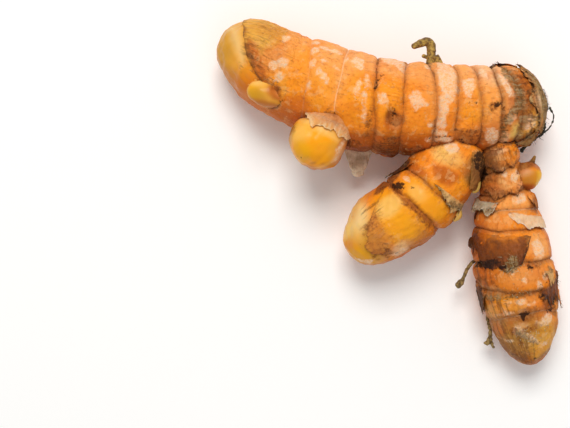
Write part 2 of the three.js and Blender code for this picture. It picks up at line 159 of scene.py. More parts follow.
# %% Relief of the skin
SLOW_LUMPS = (0.28, 6.3)        # height and length along the limb, mm
QUICK_LUMPS = (0.16, 3.1)
BULGE_POWER = 0.6               # below 1 the skin swells steeply beside a ring
DEPTH, HALF_WIDTH, STAIN, BLEACH, FELT = 3, 4, 5, 6, 7      # where a ring's row holds each trait
NOTHING_NEAR = 99.0             # mm, more than any real distance
LEAST_SPAN = 0.1                # mm between two rings, where one leans into the next
ALONG_STEP, ANGLE_STEP = 0.2, 0.02      # mm and radians, half the steps that give a direction


def relief(limb, distance, turn, radius, bridged=False):
    """Height of the skin over the plain radius, and signed distance and index of the nearest ring.
    Bulge x sin(pi f)^0.6 between rings, less each ring's depth x exp(-(distance / width)^2), plus
    slow sine lumps, plus each swelling as a bell curve. `bridged` keeps the full bulge, as a dry
    leaf does that spans the grooves."""
    rise, length = SLOW_LUMPS
    height = rise * np.sin(distance / length + limb.phase) * np.cos(2 * turn + limb.phase)
    rise, length = QUICK_LUMPS
    height += rise * np.sin(distance / length + 2 * limb.phase) * np.cos(3 * turn - limb.phase)
    for at, angle, spread, rise in limb.swellings:
        round_way = np.angle(np.exp(1j * (turn - math.radians(angle))))
        height = height + rise * np.exp(-((distance - at) ** 2 + (radius * round_way) ** 2) / spread ** 2)
    gap = np.full_like(distance, NOTHING_NEAR)
    nearest = np.zeros(distance.shape, int)
    fraction = np.zeros_like(distance)
    below = limb.ring_line(0, turn)
    for k in range(1, len(limb.rings) + 2):
        line = limb.ring_line(k, turn)
        inside = (distance >= below) & (distance <= line)
        fraction = np.where(inside, (distance - below) / np.maximum(line - below, LEAST_SPAN), fraction)
        if k <= len(limb.rings):
            closer = np.abs(distance - line) < np.abs(gap)
            gap = np.where(closer, distance - line, gap)
            nearest = np.where(closer, k, nearest)
        below = line
    if bridged:
        return height + SEGMENT_BULGE, gap, nearest
    height = height + SEGMENT_BULGE * np.sin(np.pi * np.clip(fraction, 0, 1)) ** BULGE_POWER
    if limb.rings:
        depth = np.array([0.0] + [ring[DEPTH] for ring in limb.rings])[nearest]
        width = np.array([1.0] + [ring[HALF_WIDTH] for ring in limb.rings])[nearest]
        height = height - depth * np.exp(-(gap / width) ** 2)
    return height, gap, nearest


def skin(limb, distance, turn, offset=0.0, bridged=False):
    """Points of the skin: centre + (radius + relief) x rounding x (top cos turn + side sin turn)."""
    distance, turn = np.broadcast_arrays(np.asarray(distance, float), np.asarray(turn, float))
    radius = limb.at(distance, limb.radii)
    height = 0.0
    if limb.rings:
        height = relief(limb, distance, turn, radius, bridged)[0]
    reach = (radius + height) * limb.rounding(distance) + offset
    up = reach if limb.half_thickness is None else limb.half_thickness * limb.rounding(distance)
    top, side = limb.across(distance)
    centre = limb.at(distance, limb.axis)
    return centre + top * (up * np.cos(turn))[..., None] + side * (reach * np.sin(turn))[..., None]


def outward(limb, distance, turn):
    """The bridged skin's outward direction: the step round it crossed with the step along it."""
    def step(mm, angle):
        return (skin(limb, distance + mm, turn + angle, bridged=True)
                - skin(limb, distance - mm, turn - angle, bridged=True))

    return unit(np.cross(step(0, ANGLE_STEP), step(ALONG_STEP, 0)))


print("relief is added to the radius, so grooves are in the mesh")

# %% [markdown]
# ## From points to a mesh
#
# A limb is a tube of rows closed by one point at each end. Rows crowd together at the rings, where
# the form turns sharply, and spread out between them. Writing the arrays straight into the mesh
# keeps a hundred thousand points quick to make.

# %% Closed grids as meshes
LEAST_ROWS = 4                          # between two rings
TIP_START, BUD_START = 0.25, 0.4        # share of a step by which the first row stands off the end


def mesh_piece(name, points, faces):
    """A smooth mesh object at the origin, from points in millimetres and faces as rows of indices."""
    mesh = bpy.data.meshes.new(name)
    mesh.from_pydata((np.asarray(points) * MM).tolist(), [], faces)
    mesh.polygons.foreach_set("use_smooth", np.ones(len(mesh.polygons), bool))
    mesh.update()
    piece = bpy.data.objects.new(name, mesh)
    bpy.context.scene.collection.objects.link(piece)
    return piece


def tube_faces(rows, sides):
    """Faces of a closed tube of rows x sides points, with point 0 before it and one point after it."""
    j = np.arange(sides)
    after = (j + 1) % sides
    starts = 1 + sides * np.arange(rows - 1)[:, None]
    quads = np.stack([starts + j, starts + after, starts + sides + after, starts + sides + j], axis=-1)
    last = 1 + rows * sides
    first_fan = np.stack([np.zeros(sides, int), 1 + after, 1 + j], axis=-1)
    end = 1 + (rows - 1) * sides
    last_fan = np.stack([np.full(sides, last), end + j, end + after], axis=-1)
    return quads.reshape(-1, 4).tolist() + first_fan.tolist() + last_fan.tolist()


def row_places(limb, spacing):
    """(ring index, fraction) of each row. Fractions blend even steps with 0.5 - 0.5 cos(pi s), which
    crowds rows at both rings; over the first end they are 1 - cos and over the last sin, which crowd
    them at the tips."""
    places = []
    last = len(limb.rings)
    marks = [0.0] + [ring[0] for ring in limb.rings] + [limb.length]
    for k in range(last + 1):
        count = max(LEAST_ROWS, round((marks[k + 1] - marks[k]) / spacing))
        s = np.arange(count) / count
        eased = 0.5 * s + 0.5 * (0.5 - 0.5 * np.cos(np.pi * s))
        if k == 0:
            eased = 1 - np.cos(0.5 * np.pi * (s + TIP_START / count))
        if k == last:
            eased = np.sin(0.5 * np.pi * s)
        if k == 0 and last == 0:
            eased = 0.5 - 0.5 * np.cos(np.pi * (s + BUD_START / count))
        places += [(k, fraction) for fraction in eased]
    return places


def limb_mesh(name, limb, spacing, sides):
    """A limb as a closed mesh whose rows follow its rings."""
    turn = np.linspace(0, 2 * np.pi, sides, endpoint=False)
    rows = []
    for k, fraction in row_places(limb, spacing):
        start = limb.ring_line(k, turn)
        rows.append(start + fraction * (limb.ring_line(k + 1, turn) - start))
    distance = np.array(rows)
    grid = skin(limb, distance, np.broadcast_to(turn, distance.shape))
    points = np.vstack([limb.axis[:1], grid.reshape(-1, 3), limb.axis[-1:]])
    return mesh_piece(name, points, tube_faces(len(rows), sides))


print("rows follow the rings")

# %% [markdown]
# ## The limbs of this root
#
# The mother rhizome runs from its old crown on the right to its growing tip on the left. Two
# fingers and a round knob grew out of it. Each path point is x, y, z and radius. Each ring is its
# distance along the limb, lean, arch, depth, half width, and how strongly it is stained brown,
# bleached pale, or grown over with grey-green fibre, from 0 to 1. Each swelling is distance, turn
# in degrees, spread and height. The paths are the ones that the solids were made from.

# %% Paths, rings and swellings
LIMBS = {
    "mother": Limb(
        path=[(43.6, 23.9, 9.3, 9.5), (38.8, 23.4, 9.8, 10.3), (30.6, 22.5, 11.7, 11.2),
              (16.8, 21.9, 14.4, 11.5), (3.3, 22.3, 15.2, 12.3), (-10.1, 24.5, 14.6, 12.8),
              (-23.4, 29.9, 12.4, 11.8), (-30.1, 33.2, 11.2, 11.3), (-36.5, 36.9, 10.6, 10.8),
              (-41.5, 38.8, 10.6, 10.5), (-45.9, 40.1, 10.6, 10.4)],
        ends=(9, 14),
        rings=[(8.0, 0.4, -0.9, 0.35, 0.5, 0.6, 0.0, 0.9), (13.6, 0.4, -2.2, 0.35, 0.6, 0.8, 0.0, 1.0),
               (15.8, 0.1, 1.4, 0.35, 0.5, 0.9, 0.0, 0.5), (22.2, -0.3, 0, 0.3, 0.45, 0.6, 0.0, 0.2),
               (27.4, -0.4, 0.5, 0.3, 0.45, 0.6, 0.0, 0.2), (33.8, 0.2, -0.6, 0.3, 0.45, 0.6, 0.0, 0.2),
               (40.1, 0, 1.2, 0.3, 0.45, 0.7, 0.0, 0.0), (48.2, 1.2, -0.3, 0.45, 0.6, 0.8, 0.0, 0.0),
               (57.3, 2.4, -0.4, 0.12, 0.35, 0.0, 0.5, 0.0), (67.0, 3.4, -1.6, 0.12, 0.4, 0.15, 0.1, 0.0)],
        swellings=[(25.2, -44, 3.0, 1.1), (43.4, -14, 1.3, -0.9), (42.6, -30, 2.0, 0.8),
                   (57.5, -22, 3.2, 0.5), (79, 62, 13, -0.9), (4, 30, 5, -0.6), (46, 120, 6, 0.5),
                   (20, -130, 5, 0.5)],
        phase=0.4),
    "finger_1": Limb(
        path=[(20.6, 15.2, 14, 7.5), (14.9, 6.3, 14.5, 9.1), (10.1, -0.4, 14, 9.8),
              (4.8, -5.3, 13.4, 9.8), (-0.8, -9.6, 12.6, 9.5), (-5.7, -12.9, 12, 8.9),
              (-11.3, -15.3, 11.6, 8.7)],
        ends=(4, 12),
        rings=[(9.4, -0.8, 0, 0.1, 0.5, 0.1, 0.0, 0.0), (16.7, -0.3, 0.1, 0.5, 0.55, 0.7, 0.0, 0.2),
               (23.7, 1.1, -0.4, 0.55, 0.55, 0.9, 0.0, 0.0)],
        swellings=[(8, -66, 5, 0.6), (13, -10, 3, -0.5), (20, -78, 2.5, 0.8), (33, -72, 7, -1.2),
                   (18, 100, 6, -1.0)],
        phase=2.1),
    "finger_2": Limb(
        path=[(28.8, 14.4, 13, 4.9), (30.4, 7.1, 13.6, 5.3), (31.4, 1.7, 13.2, 6.0),
              (32.0, -3.1, 12.4, 7.3), (32.9, -9.9, 11.4, 9.1), (33.9, -16.4, 10.9, 10.1),
              (35.0, -24.0, 10.6, 10.6), (36.5, -30.3, 10.2, 10.1), (37.9, -36.3, 9.7, 8.5),
              (38.9, -41.8, 9.3, 6.1), (39.5, -45.4, 9.0, 3.6), (39.8, -47.3, 9.0, 1.4)],
        ends=(3, 1.2),
        rings=[(8.6, 0.9, 0, 0.4, 0.5, 0.9, 0.0, 0.3), (14.2, 0.6, 0.2, 0.4, 0.5, 0.9, 0.0, 0.3),
               (19.0, -0.6, 0, 0.3, 0.5, 0.4, 0.3, 0.2), (24.6, -1.1, -0.2, 0.35, 0.5, 0.9, 0.0, 0.2),
               (33.8, -0.9, -0.4, 0.35, 0.5, 0.9, 0.0, 0.5), (39.4, -1.4, 2.4, 0.35, 0.5, 0.9, 0.0, 0.5),
               (49.0, -0.8, -1.8, 0.12, 0.5, 0.3, 0.2, 0.3)],
        swellings=[(18, -60, 3, 0.5), (28, 120, 4, 0.6), (45, -52, 5, -0.9), (42, 98, 5, -0.9),
                   (37, 160, 5, 0.4)],
        phase=4.4),
    "knob": Limb(
        path=[(-12.9, 22.8, 16, 5.4), (-15.1, 19.2, 18, 6.3), (-17.9, 14.8, 19.5, 7.1),
              (-20.7, 10.6, 20, 7.2), (-23.1, 7.2, 20, 7.1)],
        ends=(2, 6.8),
        rings=[(9.2, 1.0, -1.4, 0.3, 0.4, 0.6, 0.6, 0.0)],
        swellings=[(5.5, 0, 3.2, 0.8), (5.5, -50, 3.2, 0.6), (14, -30, 1.2, -0.3)],
        phase=1.3),
}

# %% Buds, as plain tapering limbs
BUDS = {
    "oval_bud": [(-28.4, 24.9, 17.2, 3.0), (-31.5, 25.6, 19.4, 3.5), (-34.6, 26.4, 19.2, 3.3),
                 (-37.2, 26.9, 17.8, 2.2)],
    "under_bulge": [(0.3, 17, 11, 4.6), (0.5, 12.6, 10, 4.4), (0.6, 9.4, 9, 3.2)],
    "olive_bud": [(20.4, 6.5, 14.5, 3.4), (22.6, 2.4, 14.6, 2.5), (23.8, -0.5, 14.5, 1.2)],
    "horn_bud": [(13.0, -3.6, 14.6, 3.9), (17.4, -5.6, 14.3, 2.5), (20.0, -6.7, 14.0, 1.8)],
    "side_bud": [(32.4, 2.8, 14, 2.6), (36.6, 4.0, 15.5, 3.7), (39.0, 4.3, 15.4, 3.6),
                 (41.0, 4.2, 15.1, 2.4)],
    "side_thorn": [(38.0, 6.2, 15.6, 1.3), (38.7, 7.9, 15.7, 0.8), (39.4, 9.6, 15.8, 0.35)],
    "shoulder_bud": [(34.0, -2.4, 12.4, 3.6), (38.4, -3.9, 12.6, 3.0), (40.4, -4.6, 12.6, 2.0)],
    "dark_bud": [(25.8, -13.4, 11, 2.2), (23.2, -14.3, 11, 1.9), (22.2, -14.7, 11, 1.1)],
}
for bud_name, bud_path in BUDS.items():
    LIMBS[bud_name] = Limb(bud_path)
for limb_name, limb in LIMBS.items():
    print(limb_name, "length", round(float(limb.length), 1), "mm,", len(limb.rings), "rings")

# %% [markdown]
# ## One body of flesh
#
# A finger doesn't stick through the mother rhizome, it grows out of it. The limbs are joined by a
# Boolean union, so nothing is left inside.

# %% Join the limbs
SIDES = {"mother": 184, "finger_1": 144, "finger_2": 144, "knob": 104}
BUD_SIDES = 52
ROW_SPACING, BUD_SPACING = 0.42, 0.3    # mm between rows of points


def union(pieces, name):
    """All pieces joined by one exact manifold union and applied; returns the joined object."""
    body = pieces[0]
    body.name = name
    body.data.name = name
    others = bpy.data.collections.new(name + "_parts")
    bpy.context.scene.collection.children.link(others)
    for piece in pieces[1:]:
        bpy.context.scene.collection.objects.unlink(piece)
        others.objects.link(piece)
    join = body.modifiers.new("join", "BOOLEAN")
    join.operation = "UNION"
    join.operand_type = "COLLECTION"
    join.collection = others
    join.solver = "MANIFOLD"
    joined = bpy.data.meshes.new_from_object(body.evaluated_get(bpy.context.evaluated_depsgraph_get()))
    body.modifiers.clear()
    body.data = joined
    for piece in list(others.objects):
        bpy.data.objects.remove(piece)
    bpy.data.collections.remove(others)
    return body


limb_pieces = []
for limb_name, limb in LIMBS.items():
    spacing = BUD_SPACING if limb_name in BUDS else ROW_SPACING
    limb_pieces.append(limb_mesh(limb_name, limb, spacing, SIDES.get(limb_name, BUD_SIDES)))
flesh = union(limb_pieces, "turmeric_flesh")
print("flesh:", len(flesh.data.vertices), "points", len(flesh.data.polygons), "faces")

# %% [markdown]
# ## Flat spots and small unevenness
#
# A root on a table touches it in three places and is pressed flat there. Moving every point that
# lies below the table up to it does the same, and leaves no open cut to close. Nothing that grew is
# quite even either, so a sum of random waves moves the skin by a tenth of a millimetre.

# %% Press and roughen the flesh
UNEVENNESS = [(0.09, 2.2, 7.0, 26, 3), (0.03, 1.0, 2.0, 26, 4)]     # layers of waves, as roughen takes them


def waves(points, shortest, longest, count, seed):
    """Sum of `count` sine waves in random directions, with wavelengths from shortest to longest in
    millimetres: sqrt(2 / count) x sum of sin(2 pi direction . p / wavelength + phase)."""
    draw = np.random.default_rng(seed)
    directions = unit(draw.normal(size=(count, 3)))
    lengths = np.geomspace(shortest, longest, count)
    phases = draw.uniform(0, 2 * np.pi, count)
    angles = 2 * np.pi * points @ (directions / lengths[:, None]).T + phases
    return math.sqrt(2 / count) * np.sin(angles).sum(-1)


def read_rows(piece, trait):
    """A trait of a piece's points, as rows of three: "co" is their place in metres, "normal" outward."""
    values = np.empty(len(piece.data.vertices) * 3)
    piece.data.vertices.foreach_get(trait, values)
    return values.reshape(-1, 3)


def roughen(piece, *layers, floor=None):
    """Moves each point outward by the sum of height x waves over the layers, each a height, shortest and
    longest wave in mm, count and seed, and lifts points under the floor up to it. Returns the points."""
    points = read_rows(piece, "co") / MM
    rise = sum(height * waves(points, *settings) for height, *settings in layers)
    points = points + read_rows(piece, "normal") * rise[:, None]
    if floor is not None:
        print("points pressed onto the table:", int((points[:, 2] < floor).sum()))
        points[:, 2] = np.maximum(points[:, 2], floor)
    piece.data.vertices.foreach_set("co", (points * MM).ravel())
    piece.data.update()
    return points


flesh.data.polygons.foreach_set("use_smooth", np.ones(len(flesh.data.polygons), bool))
points = roughen(flesh, *UNEVENNESS, floor=0)

# %% [markdown]
# ## Measuring the skin
#
# Colour on a root follows its growth: stains sit along the rings, pale patches where the thin skin
# has worn off; and painted shade darkens the forks. So each point is measured against every limb:
# which limb it belongs to, how far along and how far round it is, and how far away the next limb's
# skin is. With that, a mark can be drawn on the unrolled skin of one limb, as on the label of a jar.

# %% Which limb, how far along, how far round
BATCH = 20000       # points measured at once, to spare memory
FORK_REACH = 9      # mm, the farthest that another limb's skin is measured


def measure(limb, points):
    """Distance along, turn round and height over the skin of each point, by the nearest axis point
    and one straight step from it. Height is the distance from the axis less the skin's reach."""
    nearest = np.empty(len(points), int)
    axis = limb.axis.astype(np.float32)
    for part in np.array_split(np.arange(len(points)), max(1, len(points) // BATCH)):
        away = points[part, None, :].astype(np.float32) - axis[None]
        nearest[part] = np.einsum("ijk,ijk->ij", away, away).argmin(1)
    step = np.einsum("ij,ij->i", points - limb.axis[nearest], limb.forward[nearest])
    distance = np.clip(limb.along[nearest] + step, 0, limb.length)
    top, side = limb.across(distance)
    away = points - limb.at(distance, limb.axis)
    turn = np.arctan2(np.einsum("ij,ij->i", away, side), np.einsum("ij,ij->i", away, top))
    radius = limb.at(distance, limb.radii)
    height, gap, nearest_ring = relief(limb, distance, turn, radius)
    reach = (radius + (height if limb.rings else 0)) * limb.rounding(distance)
    return distance, turn, np.linalg.norm(away, axis=1) - reach, gap, nearest_ring


NAMES = list(LIMBS)


class Place:
    """Where each point of a piece lies on the root: `owner` is its limb's number in NAMES, `fork` how
    far away the next limb's skin is."""

    def __init__(self, points, only=None):
        chosen = [only] if only else NAMES
        measures = [measure(LIMBS[name], points) for name in chosen]
        heights = np.array([m[2] for m in measures])
        best = np.abs(heights).argmin(0)
        everyone = np.arange(len(points))
        self.along, self.turn, gap = (np.array([m[i] for m in measures])[best, everyone] for i in (0, 1, 3))
        self.ring_gap = np.abs(gap)
        self.ring = np.array([m[4] for m in measures])[best, everyone]
        self.owner = np.array([NAMES.index(name) for name in chosen])[best]
        others = np.where(np.arange(len(chosen))[:, None] == best, NOTHING_NEAR, heights)
        self.fork = np.clip(others.min(0), 0, FORK_REACH)
        radii = [LIMBS[name].at(self.along, LIMBS[name].radii) for name in chosen]
        self.radius = np.array(radii)[best, everyone]


place = Place(points)
for i, limb_name in enumerate(NAMES):
    print(limb_name, "owns", int((place.owner == i).sum()), "points")

# %% [markdown]
# ## Shapes on the unrolled skin
#
# A shape is an oval or an outline of a few points, each (distance along, turn in degrees). Both
# give a field in millimetres: positive inside, 0 on the outline, negative outside. The material
# adds noise to the field before it cuts it off, so no outline ever shows as drawn.

# %% Fields of shapes
FAR = -4.0      # mm, the least value that a field takes


def outline_distance(x, y, outline):
    """Distance to the nearest side, positive inside. The nearest point of a side is start + t side,
    with t = (away . side) / side^2 kept within 0 and 1; inside, a ray crosses an odd count of sides."""
    start = outline[None]
    side = np.roll(outline, -1, axis=0)[None] - start
    away = np.stack([x, y], axis=-1)[:, None] - start
    t = np.clip((away * side).sum(-1) / np.maximum((side ** 2).sum(-1), TINY), 0, 1)
    nearest = np.linalg.norm(away - t[..., None] * side, axis=-1).min(1)
    spans = (start[..., 1] > y[:, None]) != (start[..., 1] + side[..., 1] > y[:, None])
    rise = np.where(np.abs(side[..., 1]) < TINY, TINY, side[..., 1])
    crossing = start[..., 0] + side[..., 0] * (y[:, None] - start[..., 1]) / rise
    inside = (spans & (x[:, None] < crossing)).sum(1) % 2 == 1
    return np.where(inside, nearest, -nearest)


def shape_field(place, limb_name, shape):
    """The field of one shape on one limb. An oval is a tuple of along, turn, half length and half width,
    with the field (1 - sqrt(u^2 + v^2)) x the smaller half; an outline is a list of points."""
    if isinstance(shape, list):
        outline = np.array(shape, float)
        middle = outline.mean(0)
        reach = np.abs(outline[:, 0] - middle[0]).max()
    else:
        *middle, half_along, half_round = shape
        reach = half_along
    near = (place.owner == NAMES.index(limb_name)) & (np.abs(place.along - middle[0]) < reach - FAR)
    along = place.along[near]
    swing = np.angle(np.exp(1j * (place.turn[near] - math.radians(middle[1]))))
    field = np.full(len(place.along), FAR)
    if isinstance(shape, list):
        size = float(LIMBS[limb_name].at(middle[0], LIMBS[limb_name].radii))
        flat = np.stack([outline[:, 0], np.radians(outline[:, 1] - middle[1]) * size], axis=-1)
        field[near] = outline_distance(along, swing * size, flat)
    else:
        oval = 1 - np.hypot((along - middle[0]) / half_along, swing * place.radius[near] / half_round)
        field[near] = oval * min(half_along, half_round)
    return np.clip(field, FAR, -FAR)


def set_attribute(piece, name, values):
    """One number, or three for a vector, for each point of the piece's mesh."""
    kind = "FLOAT" if np.ndim(values) == 1 else "FLOAT_VECTOR"
    layer = piece.data.attributes.new(name, kind, "POINT")
    layer.data.foreach_set("value" if kind == "FLOAT" else "vector", np.asarray(values, np.float32).ravel())


def linear(hex_colour):
    """sRGB hex to linear RGBA: c / 12.92 below 0.04045, else ((c + 0.055) / 1.055)^2.4."""
    channels = np.array([int(hex_colour[i:i + 2], 16) for i in (1, 3, 5)]) / 255
    light = np.where(channels <= 0.04045, channels / 12.92, ((channels + 0.055) / 1.055) ** 2.4)
    return (*light.tolist(), 1.0)


print("shapes are measured in millimetres on the unrolled skin")

# %% [markdown]
# ## Washes of colour
#
# First come the broad, soft differences: peach on the upper side of the mother rhizome, rust below,
# which is partly painted shade, yellow growing tips, brown necks. They are washes of a few named
# pigments over plain orange, each with a strength and a soft edge in millimetres, laid one over the
# other as a painter would. A few pale washes, on the growing tip, a finger's base and two buds, are
# painted highlights.

# %% Pigments
PIGMENTS = {
    "orange": "#F88E1F", "amber": "#FC9A14", "peach": "#FAAC60", "blush": "#F8C492", "rose": "#DF8A48",
    "clay": "#BE6420", "rust": "#B85410", "umber": "#743408", "bark": "#A26C34", "tan": "#EAA53C",
    "ochre": "#C98F26", "cream": "#F9C368", "lemon": "#F2C86A", "gold": "#FCA414", "olive": "#80602C",
    "ivory": "#F6D08C", "sun": "#EFAC16", "ash": "#B68E58", "soot": "#24120A",
}

